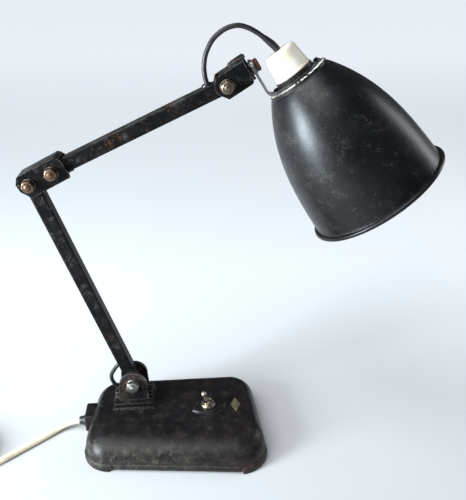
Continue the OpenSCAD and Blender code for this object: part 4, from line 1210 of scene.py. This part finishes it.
def foot_outline(sx, sy):
    """Plan of one corner foot, a lug that follows the corner and stands a little proud."""
    cx, cy = corner_centre(sx, sy, 0.0, 0.0, CORNER_R)
    middle = math.atan2(sy, sx)
    reach = math.radians(40)
    outer = [
        (cx + (CORNER_R + 0.75) * math.cos(middle + t), cy + (CORNER_R + 0.75) * math.sin(middle + t))
        for t in np.linspace(-reach, reach, 22)
    ]
    inner = [
        (cx + (CORNER_R - 7) * math.cos(middle + t), cy + (CORNER_R - 7) * math.sin(middle + t))
        for t in np.linspace(reach, -reach, 14)
    ]
    return outer + inner


def box_outline(x0, x1, y0, y1):
    """Corners of a rectangle."""
    return [(x0, y0), (x1, y0), (x1, y1), (x0, y1)]


def eye_boss(form):
    """Draws the low eye-shaped boss under the switch."""
    long, wide = 21.5, 12.8
    radius = (long * long + wide * wide) / (2 * wide)
    sweep_half = math.asin(long / radius)
    arc = np.linspace(-sweep_half, sweep_half, 28)
    upper = [(radius * math.sin(t), radius * math.cos(t) - radius + wide) for t in arc]
    lower = [(x, -y) for x, y in reversed(upper[1:-1])]
    eye = upper + lower
    turn = math.radians(20)
    rings = []
    for scale, z in ((1.05, 33.4), (1.035, 34.0), (1.0, 34.9), (0.965, 35.7), (0.92, 36.1), (0.86, 36.2)):
        ring = []
        for x, y in eye:
            x, y = x * scale, y * scale
            ring.append(
                form.verts.new(
                    (
                        (41.0 + x * math.cos(turn) - y * math.sin(turn)) * MM,
                        (6.5 + x * math.sin(turn) + y * math.cos(turn)) * MM,
                        z * MM,
                    )
                )
            )
        rings.append(ring)
    for a, b in zip(rings, rings[1:]):
        for k in range(len(a)):
            n = (k + 1) % len(a)
            form.faces.new((a[k], a[n], b[n], b[k]))
    form.faces.new(rings[0])
    form.faces.new(rings[-1])


# ---------- operators ----------


class DESKLAMP_OT_camera(bpy.types.Operator):
    """Makes the camera"""

    bl_idname = "desk_lamp.camera"
    bl_label = "Camera"

    def execute(self, context):
        data = bpy.data.cameras.new("camera")
        data.sensor_fit = "HORIZONTAL"
        data.sensor_width = 36.0
        data.lens = 45.54
        data.clip_start, data.clip_end = 0.01, 80.0
        camera = bpy.data.objects.new("camera", data)
        camera.location = (0.0234, -0.5354, 0.4983)
        camera.rotation_euler = (math.radians(90 - 25.81), 0.0, math.radians(-4.66))
        context.scene.collection.objects.link(camera)
        context.scene.camera = camera
        return {"FINISHED"}


# Mains lead, in millimetres: the gland's mouth, along the desk, then the coil's places
GLAND = (-105.0, 17.0, 14.0)
MAINS_ROUTE = [
    (-113, 17, 14),
    (-118, 17.5, 13.2),
    (-124, 18, 11.3),
    (-131, 17.8, 8.2),
    (-138, 15.6, 5.2),
    (-145, 10.8, 3.9),
    (-153, 4, 3.5),
    (-164, -5, 3.5),
    (-178, -16.5, 3.5),
    (-192, -28, 3.5),
    (-206, -38.6, 3.5),
    (-219, -48.4, 3.5),
]
COIL_CENTRE = (-262.0, -23.0)
COIL_RADII = (46.0, 39.0, 32.0, 32.0, 39.0, 46.0)
COIL_FIRST, COIL_LAST = -53.0, -2340.0
TAIL_ROUTE = [(-308, -13, 10.5), (-308, -2, 10.6), (-308, 9, 10.9), (-308, 20, 11), (-308, 33, 11)]


def coil_points(per_turn=20):
    """Points round the coil: three turns inwards, then three outwards on top of them."""
    points = []
    total = COIL_FIRST - COIL_LAST
    count = int(per_turn * total / 360)
    for k in range(count + 1):
        run = total * k / count
        turn, part = divmod(run / 360, 1)
        turn = int(turn)
        ease = min(1.0, max(0.0, (part - 0.84) / 0.16))
        ease = ease * ease * (3 - 2 * ease)
        here = COIL_RADII[min(turn, 5)]
        there = COIL_RADII[min(turn + 1, 5)]
        low = 3.5 if turn < 3 else 10.5
        high = 3.5 if turn < 2 else 10.5
        angle = math.radians(COIL_FIRST - run)
        radius = here + (there - here) * ease
        z = low + (high - low) * ease
        points.append(
            (COIL_CENTRE[0] + radius * math.cos(angle), COIL_CENTRE[1] + radius * math.sin(angle), z)
        )
    return points


class DESKLAMP_OT_mains_flex(bpy.types.Operator):
    """Makes the cream mains flex with its coil, tie and plug"""

    bl_idname = "desk_lamp.mains_flex"
    bl_label = "Mains flex"

    def execute(self, context):
        diameter = sizes().mains_diameter
        coil = coil_points()
        leading = catmull([*MAINS_ROUTE, coil[0], coil[1]], 3)[:-4]
        trailing = catmull([coil[-2], coil[-1], *TAIL_ROUTE], 3)[3:]
        path = [Vector(p) for p in [*leading, *coil[:-1], *trailing]]
        data = bpy.data.curves.new("mains_flex_finished", "CURVE")
        data.dimensions = "3D"
        data.bevel_depth = diameter / 2
        data.bevel_resolution = 5
        data.use_fill_caps = True
        spline = data.splines.new("POLY")
        spline.points.add(len(path) - 1)
        for point, place in zip(spline.points, path):
            point.co = (*(place * MM), 1.0)
        spline.use_smooth = True
        flex = bpy.data.objects.new("mains_flex_finished", data)
        context.scene.collection.objects.link(flex)
        data.materials.append(finish_of("cream flex"))
        settle(flex, "base", "mains_flex", "mains_coil", "mains_tail")

        plug = refined("plug_body", "plug", 0.0008)
        pins = refined("plug_pins", "pin brass", 0.0004)
        tie = self.tie()
        return {"FINISHED"}

    def tie(self):
        """Twisted band round the coil's turns."""
        cx, cy = COIL_CENTRE
        angle = math.radians(62)
        out = Vector((math.cos(angle), math.sin(angle), 0))
        side = Vector((-math.sin(angle), math.cos(angle), 0))
        parts = []
        for shift in (-1.6, 0.0, 1.6):
            corners = [
                (28.0, 3.0), (29.6, 0.9), (33, 0.8), (45, 0.8), (48.6, 1.2), (50.1, 3.6),
                (50.1, 10.4), (48.4, 13.6), (45, 14.4), (33, 14.4), (29.6, 13.4), (28.0, 11.0),
            ]
            loop = [Vector((cx, cy, 0)) + out * r + side * shift + Vector((0, 0, z)) for r, z in corners]
            ends = catmull([loop[-1], *loop, loop[0], loop[1]], 3)[3:-6]
            parts.append(
                link(f"tie_{shift}", mesh_from("tie", sweep([p * MM for p in ends], 0.8 * MM, 10, True)))
            )
        knot = catmull(
            [Vector((cx, cy, 14.6)) + out * 38 + side * s + Vector((0, 0, z)) for s, z in
             ((-3.5, 0.2), (-1.6, 1.2), (0, 1.8), (1.8, 1.1), (3.6, 0.2))], 3
        )
        parts.append(link("tie_knot", mesh_from("knot", sweep([p * MM for p in knot], 1.3 * MM, 10))))
        made = joined("flex_tie", parts, "tie")
        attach(made, "base")
        return made


class DESKLAMP_OT_casting(bpy.types.Operator):
    """Makes the cast base with its feet and bosses"""

    bl_idname = "desk_lamp.casting"
    bl_label = "Cast base"

    def execute(self, context):
        pivot_x = PIVOT["base_hinge"].x / MM
        parts = [link("shell", mesh_from("shell", casting_shell, crisp=50))]
        for sx in (-1, 1):
            for sy in (-1, 1):
                foot = prism(foot_outline(sx, sy), 0.0, 8.1, 1.1)
                parts.append(link(f"foot{sx}{sy}", mesh_from("foot", foot)))
        pad = prism(box_outline(pivot_x - 22.5, pivot_x + 22.5, ARM_Y - 20, ARM_Y + 18), 31.0, 41.0, 1.6, 4)
        parts.append(link("pad", mesh_from("pad", pad)))
        flare = prism(box_outline(pivot_x - 24, pivot_x + 24, ARM_Y - 21.5, ARM_Y + 19.5), 31.0, 35.6, 1.5, 4)
        parts.append(link("flare", mesh_from("flare", flare)))
        block = prism(box_outline(GLAND[0], GLAND[0] + 14, 4, 30), 7.0, 29.0, 2.4, 4)
        parts.append(link("cord_block", mesh_from("cord_block", block)))
        parts.append(link("eye", mesh_from("eye", eye_boss, crisp=50)))
        piece = joined("casting_finished", parts, "casting")
        smooth_by_angle(piece.data, 40)
        settle(piece, "base", "base_casting")
        return {"FINISHED"}


class DESKLAMP_OT_base_parts(bpy.types.Operator):
    """Finishes the plate, felt, badge plate, gland and what is inside the base"""

    bl_idname = "desk_lamp.base_parts"
    bl_label = "Base parts"

    def execute(self, context):
        refined("bottom_plate", "plated", 0.0003)
        refined("felt_pad", "felt", 0.0005)
        refined("bottom_plate_screws", "plated", 0.0002)
        refined("lozenge_plate", "brass", 0.0003)
        refined("cord_gland", "rubber", 0.0004)
        refined("base_grommet", "rubber", 0.0003)
        for node, key in (
            ("terminal_block", "cream"),
            ("cord_clamp", "plated"),
            ("clamp_screws", "plated"),
            ("earth_screw", "brass"),
            ("base_leads", "rubber"),
            ("switch_body", "brown moulding"),
        ):
            repaint(node, key)
        return {"FINISHED"}


class DESKLAMP_OT_bracket(bpy.types.Operator):
    """Finishes the pivot bracket with its bolts"""

    bl_idname = "desk_lamp.bracket"
    bl_label = "Pivot bracket"

    def execute(self, context):
        refined("base_bracket", "bracket", sizes().plate_round)
        refined("bracket_bolts", "dark steel", 0.0002)
        repaint("base_friction_washers", "fibre")
        half = ARM_WIDE / 2 + 2.0 + 0.05 + 3.5
        pivot_fittings(
            "base_pivot",
            [LOWER],
            "base",
            ["base_pivot_bolt", "base_pivot_nut"],
            ["bright nut", "bright nut"],
            half,
            BASE_NUT_ACROSS,
            BASE_WASHER_R,
        )
        return {"FINISHED"}


class DESKLAMP_OT_switch(bpy.types.Operator):
    """Makes the toggle switch's bush, ring nut and lever"""

    bl_idname = "desk_lamp.switch"
    bl_label = "Toggle switch"

    def execute(self, context):
        centre = at(38.5, 5.0, 0.0)
        refined("switch_bush", "nickel", 0.0002)
        low, high = 36.2, 39.8
        ring = spun(
            "ring",
            [(5.9, low), (7.7, low), (8.0, low + 0.3), (8.0, high - 1.1), (7.3, high), (6.4, high - 0.2),
             (5.9, high - 0.8), (5.9, low)],
            "nickel",
            centre,
        )
        values = {
            "Count": 28,
            "Radius": 8.0 * MM,
            "Height": (low + high - 1.0) / 2 * MM,
            "Size": (0.9 * MM, 0.85 * MM, 2.3 * MM),
            "Finish": finish_of("nickel"),
        }
        ribs = grown("ribs", line_mesh("ribs_at", [(0, 0, 0)]), "Lamp ring of ribs", values, centre)
        settle(joined("switch_ring_nut_finished", [ring, ribs], "nickel"), "base", "switch_ring_nut")
        lean = Matrix.Translation(PIVOT["switch_toggle"]) @ Matrix.Rotation(math.radians(-19), 4, "Y")
        ball = [(3.0 * math.sin(t), 15.0 - 3.0 * math.cos(t)) for t in np.linspace(0.62, math.pi, 16)]
        foot = [(2.7 * math.sin(t), -2.7 * math.cos(t)) for t in np.linspace(0.45, 2.5, 14)]
        profile = [(0, -6), (1.1, -6), *foot, (1.5, 3.2), (1.7, 9.0), *ball[:-1], (0, 18.0)]
        lever = spun("toggle_lever_finished", profile, "nickel", lean, 48)
        settle(lever, "switch_lever", "toggle_lever")
        return {"FINISHED"}


class DESKLAMP_OT_arms(bpy.types.Operator):
    """Finishes the two arm tubes and what runs inside them"""

    bl_idname = "desk_lamp.arms"
    bl_label = "Arms"

    def execute(self, context):
        refined("lower_arm_tube", "arms", 0.0002)
        refined("upper_arm_tube", "arms", 0.0002)
        refined("arm_grommet", "rubber", 0.0003)
        for node in ("lower_arm_cores", "upper_arm_cores", "elbow_cores"):
            repaint(node, "red core")
        return {"FINISHED"}


class DESKLAMP_OT_elbow(bpy.types.Operator):
    """Finishes the elbow channel with its bolts, nuts and washers"""

    bl_idname = "desk_lamp.elbow"
    bl_label = "Elbow"

    def execute(self, context):
        refined("elbow_channel", "channels", sizes().plate_round)
        repaint("elbow_friction_washers", "fibre")
        half = ARM_WIDE / 2 + 3.0 + 0.05 + 2.5
        pivot_fittings(
            "elbow",
            [LINK, UPPER],
            "elbow_link",
            ["elbow_bolts", "elbow_nuts", "elbow_washers"],
            ["patina", "patina", "patina"],
            half,
            SMALL_NUT_ACROSS,
            SMALL_WASHER_R,
        )
        return {"FINISHED"}


class DESKLAMP_OT_knuckle(bpy.types.Operator):
    """Finishes the head knuckle, its swivel plate and fittings"""

    bl_idname = "desk_lamp.knuckle"
    bl_label = "Head knuckle"

    def execute(self, context):
        refined("knuckle_channel", "channels", sizes().plate_round)
        refined("swivel_bracket", "swivel plate", sizes().plate_round)
        repaint("knuckle_friction_washers", "fibre")
        half = ARM_WIDE / 2 + 2.2 + 0.05 + 2.5
        pivot_fittings(
            "knuckle",
            [KNUCKLE],
            "head_knuckle",
            ["knuckle_bolt", "knuckle_nut", "knuckle_washer"],
            ["grey fitting", "grey fitting", "grey fitting"],
            half,
            SMALL_NUT_ACROSS,
            SMALL_WASHER_R,
        )
        refined("swivel_nut", "rusty", 0.0002)
        refined("swivel_washers", "dark steel", 0.0001)
        refined("swivel_bolt", "rusty", 0.0002)
        return {"FINISHED"}


class DESKLAMP_OT_shade(bpy.types.Operator):
    """Spins the bell shade with its collar and rolled rim"""

    bl_idname = "desk_lamp.shade"
    bl_label = "Shade"

    def execute(self, context):
        top, rim, height, collar, bead = 31.0, 70.0, 141.0, 3.2, 2.2
        wall = sizes().shade_wall / MM
        shoulder = top + 1.2
        hole = 14.35

        def bell(t):
            return 0.75 * (1 - (1 - t) ** 3) + 0.25 * t

        def wall_at(t, inset):
            drop = height - collar - 2 * bead
            return shoulder + (rim - shoulder) * bell(t) - inset, -collar - drop * t

        steps = np.linspace(0, 1, 44)
        outer = [wall_at(t, 0.0) for t in steps[1:]]
        inner = [wall_at(t, wall) for t in steps[1:]]
        centre = (rim + bead - wall / 2, -height + bead)
        turns = np.linspace(math.pi * 0.86, -math.pi * 0.86, 26)
        roll = [(centre[0] + bead * math.cos(t), centre[1] + bead * math.sin(t)) for t in turns]
        collar_edge = rounded_profile(
            [(hole, 0), (top, 0), (top, -collar + 0.5), (shoulder, -collar - 0.2), outer[0]], 0.9
        )[:-1]
        under = [(top - wall, -collar), (top - wall, -wall), (hole, -wall), (hole, 0)]
        profile = [*collar_edge, *outer, (rim + 0.1, centre[1] + bead * 0.95), *roll, *inner[::-1], *under]
        place = STRAP @ at(0, 0, -STRAP_THICK)
        shade = spun("lamp_shade_finished", profile, "enamel", place, sizes().around, 40)
        shade.data.materials.append(finish_of("inside"))
        axis = (place.to_3x3() @ Vector((0, 0, 1))).normalized()
        origin = place.translation
        for face in shade.data.polygons:
            offset = Vector(face.center) - origin
            depth = offset.dot(axis)
            spoke = offset - depth * axis
            facing_in = Vector(face.normal).dot(spoke) < 0 or Vector(face.normal).dot(axis) < -0.8
            if facing_in and spoke.length < (rim - wall * 0.4) * MM:
                face.material_index = 1
        settle(shade, "shade", "lamp_shade")
        return {"FINISHED"}


class DESKLAMP_OT_holder(bpy.types.Operator):
    """Makes the strap, the lampholder, its rings and the bulb"""

    bl_idname = "desk_lamp.holder"
    bl_label = "Lampholder and strap"

    def execute(self, context):
        refined("shade_strap", "strap", 0.0005)
        refined("strap_screws", "dark steel", 0.0002)
        base_r, top_r, high, shoulder, lift = 18.6, 16.2, 24.5, 4.5, 4.0
        waist = base_r - 0.6
        taper = (waist - top_r) / (high - shoulder - 3.2)
        dome = [
            (top_r - shoulder + shoulder * math.cos(t), lift + high - shoulder + shoulder * math.sin(t))
            for t in np.linspace(0.1, math.pi / 2, 12)
        ]
        profile = [
            (14.3, lift + 0.3),
            (base_r - 0.5, lift),
            (base_r, lift + 0.4),
            (base_r, lift + 1.5),
            (base_r - 0.35, lift + 2.0),
            *((waist - taper * (z - 3.2), lift + z) for z in (3.2, 7.0, 11.5, 16.0)),
            *dome,
            (3.4, lift + high + 0.05),
            (3.0, lift + high - 0.4),
            (2.9, lift + high - 5.0),
            (0.0, lift + high - 5.0),
            (0.0, lift + 4.9),
            (14.3, lift + 4.9),
            (14.3, lift + 0.3),
        ]
        body = spun("holder_body_finished", profile, "cream", STRAP, 96)
        settle(body, "shade", "holder_body")
        outline_points = [(14.3, 0.0), (19.0, 0.0)]
        for k in range(4):
            z = 0.2 + 0.95 * k
            outline_points += [(19.5, z + 0.12), (19.5, z + 0.6), (18.9, z + 0.78)]
        outline_points += [(18.7, 4.0), (14.3, 4.0), (14.3, 0.0)]
        ring = spun("upper_shade_ring_finished", outline_points, "dark moulding", STRAP, 96)
        settle(ring, "shade", "upper_shade_ring")
        for node, key in (
            ("holder_barrel", "cream"),
            ("contact_block", "cream"),
            ("lower_shade_ring", "cream"),
            ("bulb_cap", "plated"),
        ):
            refined(node, key, 0.0002)
        refined("bulb_glass", "bulb", 0.0, 60)
        return {"FINISHED"}


# Flex routes over the joints, in millimetres
BASE_ENTRY = Vector((-62.5, 33.2, 44.5))
ENTRY_RUN = Vector((1, 0, -1)).normalized()
LOOP_TOP = (73, 29, 449.2)
HEAD_ARM_ROUTE = [(43.1, 29, 405.6), (42.6, 29, 415), (44.7, 29, 425.7), (51.2, 29, 437.6), (61.6, 29, 446)]
HEAD_HOLDER_ROUTE = [
    (82.4, 29, 447.4),
    (91, 29, 443.2),
    (97.4, 29, 438.9),
    (103.4, 29, 434.5),
    (107.7, 29.02, 430.9),
    (110.9, 29.03, 427.4),
    (112.7, 28.7, 425),
]


class DESKLAMP_OT_arm_flex(bpy.types.Operator):
    """Makes the black flex loops over the base pivot and the head"""

    bl_idname = "desk_lamp.arm_flex"
    bl_label = "Arm flex"

    def execute(self, context):
        radius = sizes().arm_flex_diameter / 2
        lower_exit = LOWER @ Vector((25 * MM, 0, (ARM_WIDE / 2 + 0.6) * MM)) / MM
        route = [
            lower_exit + Vector((3.4, 0, 2.4)),
            lower_exit,
            lower_exit + Vector((-3.2, 0.2, -3.6)),
            (-69, 29.8, 75),
            (-72.2, 30.6, 69.2),
            (-73.2, 31.4, 63),
            (-72.2, 32.2, 57),
            BASE_ENTRY - 8.5 * ENTRY_RUN + Vector((-0.6, -0.2, 0.2)),
            BASE_ENTRY - 3 * ENTRY_RUN,
            BASE_ENTRY + 3 * ENTRY_RUN,
        ]
        path = [p * MM for p in catmull(route, 8)]
        loop = link("base_flex_loop_finished", mesh_from("loop", sweep(path, radius, 20)), "rubber")
        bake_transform(loop)
        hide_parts("base_flex_loop")

        upper_exit = KNUCKLE.translation / MM + (UPPER.to_3x3() @ Vector((-17.3, 0, ARM_WIDE / 2)))
        upper_exit += Vector((0, 0, 2))
        route = [upper_exit - Vector((0, 0, 8)), upper_exit, *HEAD_ARM_ROUTE]
        beyond = HEAD_HOLDER_ROUTE[0]
        path = [p * MM for p in catmull([*route, LOOP_TOP, beyond], 8)[:-8]]
        first = link("head_flex_arm_finished", mesh_from("rise", sweep(path, radius, 20)), "rubber")
        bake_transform(first)
        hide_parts("head_flex_arm")

        whole = catmull([HEAD_ARM_ROUTE[-1], LOOP_TOP, *HEAD_HOLDER_ROUTE], 8)[8:]
        path = [p * MM for p in whole]
        second = link("head_flex_holder_finished", mesh_from("fall", sweep(path, radius, 20)), "rubber")
        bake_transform(second)
        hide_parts("head_flex_holder")

        covered = path[24:48]
        radii = [radius + 0.25 * MM + 0.75 * MM * min(1, k / 9) for k in range(len(covered))]
        sleeve = link("head_flex_sleeve_finished", mesh_from("sleeve", sweep(covered, radii, 20)), "rubber")
        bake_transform(sleeve)
        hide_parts("head_flex_sleeve")
        return {"FINISHED"}


def soft_light(name, place, target, size, energy, colour):
    """Large soft area light aimed at a point."""
    data = bpy.data.lights.new(name, "AREA")
    data.shape = "RECTANGLE"
    data.size, data.size_y = size
    data.energy = energy
    data.color = colour
    light = bpy.data.objects.new(name, data)
    light.location = place
    aim = Vector(target) - Vector(place)
    light.rotation_euler = aim.to_track_quat("-Z", "Y").to_euler()
    bpy.context.scene.collection.objects.link(light)
    return light


class DESKLAMP_OT_stage(bpy.types.Operator):
    """Makes the pale floor, the sky and the lights"""

    bl_idname = "desk_lamp.stage"
    bl_label = "Stage"

    def execute(self, context):
        form = Finish("floor", colours().floor, 0.8)
        clouds = form.group("patches", "Value", scale=3.0, low=0.0, high=0.4)
        form.over(clouds, (0.52, 0.53, 0.53), 0.8)
        # The floor is painted darker near the camera and brighter far off: painted light falling off across the
        # floor.
        form.over(ramped(form.tree, form.axis("Y"), -0.15, 0.45), (0.68, 0.70, 0.705), 0.8)
        form.over(ramped(form.tree, form.axis("Y"), 0.4, 3.5), (0.92, 0.935, 0.945), 0.85)
        mesh = bpy.data.meshes.new("floor")
        far = 30.0
        mesh.from_pydata([(-far, -far, 0), (far, -far, 0), (far, far, 0), (-far, far, 0)], [], [(0, 1, 2, 3)])
        mesh.materials.append(form.done())
        floor = link("floor", mesh)
        world = bpy.data.worlds.new("studio")
        world.use_nodes = True
        tree = world.node_tree
        around = tree.nodes["Background"]
        around.inputs["Color"].default_value = (0.80, 0.87, 1.0, 1.0)
        around.inputs["Strength"].default_value = 0.34
        backdrop = put(tree, "ShaderNodeBackground", {"Color": (0.76, 0.80, 0.87, 1.0), "Strength": 1.0})
        dim = put(tree, "ShaderNodeBackground", {"Color": (0.80, 0.87, 1.0, 1.0), "Strength": 0.10})
        rays = put(tree, "ShaderNodeLightPath").outputs
        shiny = put(tree, "ShaderNodeMixShader", {0: rays["Is Glossy Ray"]})
        tree.links.new(around.outputs[0], shiny.inputs[1])
        tree.links.new(dim.outputs[0], shiny.inputs[2])
        mixed = put(tree, "ShaderNodeMixShader", {0: rays["Is Camera Ray"]})
        tree.links.new(shiny.outputs[0], mixed.inputs[1])
        tree.links.new(backdrop.outputs[0], mixed.inputs[2])
        tree.links.new(mixed.outputs[0], tree.nodes["World Output"].inputs["Surface"])
        context.scene.world = world
        context.scene.view_settings.view_transform = "Standard"
        sun = bpy.data.lights.new("daylight", "SUN")
        sun.energy = 2.55
        sun.angle = math.radians(50)
        sun.color = (0.97, 0.985, 1.0)
        lamp = bpy.data.objects.new("daylight", sun)
        lamp.rotation_euler = (Vector((0.55, 0.35, -1.0))).to_track_quat("-Z", "Y").to_euler()
        context.scene.collection.objects.link(lamp)
        soft_light("window", (-1.02, -0.5, 0.40), (0.13, -0.02, 0.34), (0.36, 0.62), 40.0, (0.82, 0.92, 1.0))
        soft_light("side", (1.2, 0.35, 0.7), (0.2, 0.0, 0.32), (0.25, 0.9), 4.0, (0.95, 0.98, 1.0))
        return {"FINISHED"}


class DESKLAMP_PT_panel(bpy.types.Panel):
    """Lists the lamp's pieces"""

    bl_idname = "DESKLAMP_PT_panel"
    bl_label = "Desk lamp"
    bl_space_type = "VIEW_3D"
    bl_region_type = "UI"
    bl_category = "Desk lamp"

    def draw(self, context):
        for operator in OPERATORS:
            self.layout.operator(operator.bl_idname)
        for group in (context.scene.desk_lamp_sizes, context.scene.desk_lamp_colours):
            column = self.layout.column()
            for name in group.__annotations__:
                column.prop(group, name)


OPERATORS = (
    DESKLAMP_OT_camera,
    DESKLAMP_OT_mains_flex,
    DESKLAMP_OT_casting,
    DESKLAMP_OT_base_parts,
    DESKLAMP_OT_bracket,
    DESKLAMP_OT_switch,
    DESKLAMP_OT_arms,
    DESKLAMP_OT_elbow,
    DESKLAMP_OT_knuckle,
    DESKLAMP_OT_shade,
    DESKLAMP_OT_holder,
    DESKLAMP_OT_arm_flex,
    DESKLAMP_OT_stage,
)
CLASSES = (LampSizes, LampColours, *OPERATORS, DESKLAMP_PT_panel)


def register():
    """Registers the classes and the scene's properties."""
    for cls in CLASSES:
        bpy.utils.register_class(cls)
    bpy.types.Scene.desk_lamp_sizes = PointerProperty(type=LampSizes)
    bpy.types.Scene.desk_lamp_colours = PointerProperty(type=LampColours)


def unregister():
    """Removes the scene's properties and the classes."""
    del bpy.types.Scene.desk_lamp_colours
    del bpy.types.Scene.desk_lamp_sizes
    for cls in reversed(CLASSES):
        bpy.utils.unregister_class(cls)


def main():
    """Makes every piece."""
    register()
    for operator in OPERATORS:
        space, name = operator.bl_idname.split(".")
        getattr(getattr(bpy.ops, space), name)()


if __name__ == "__main__":
    main()
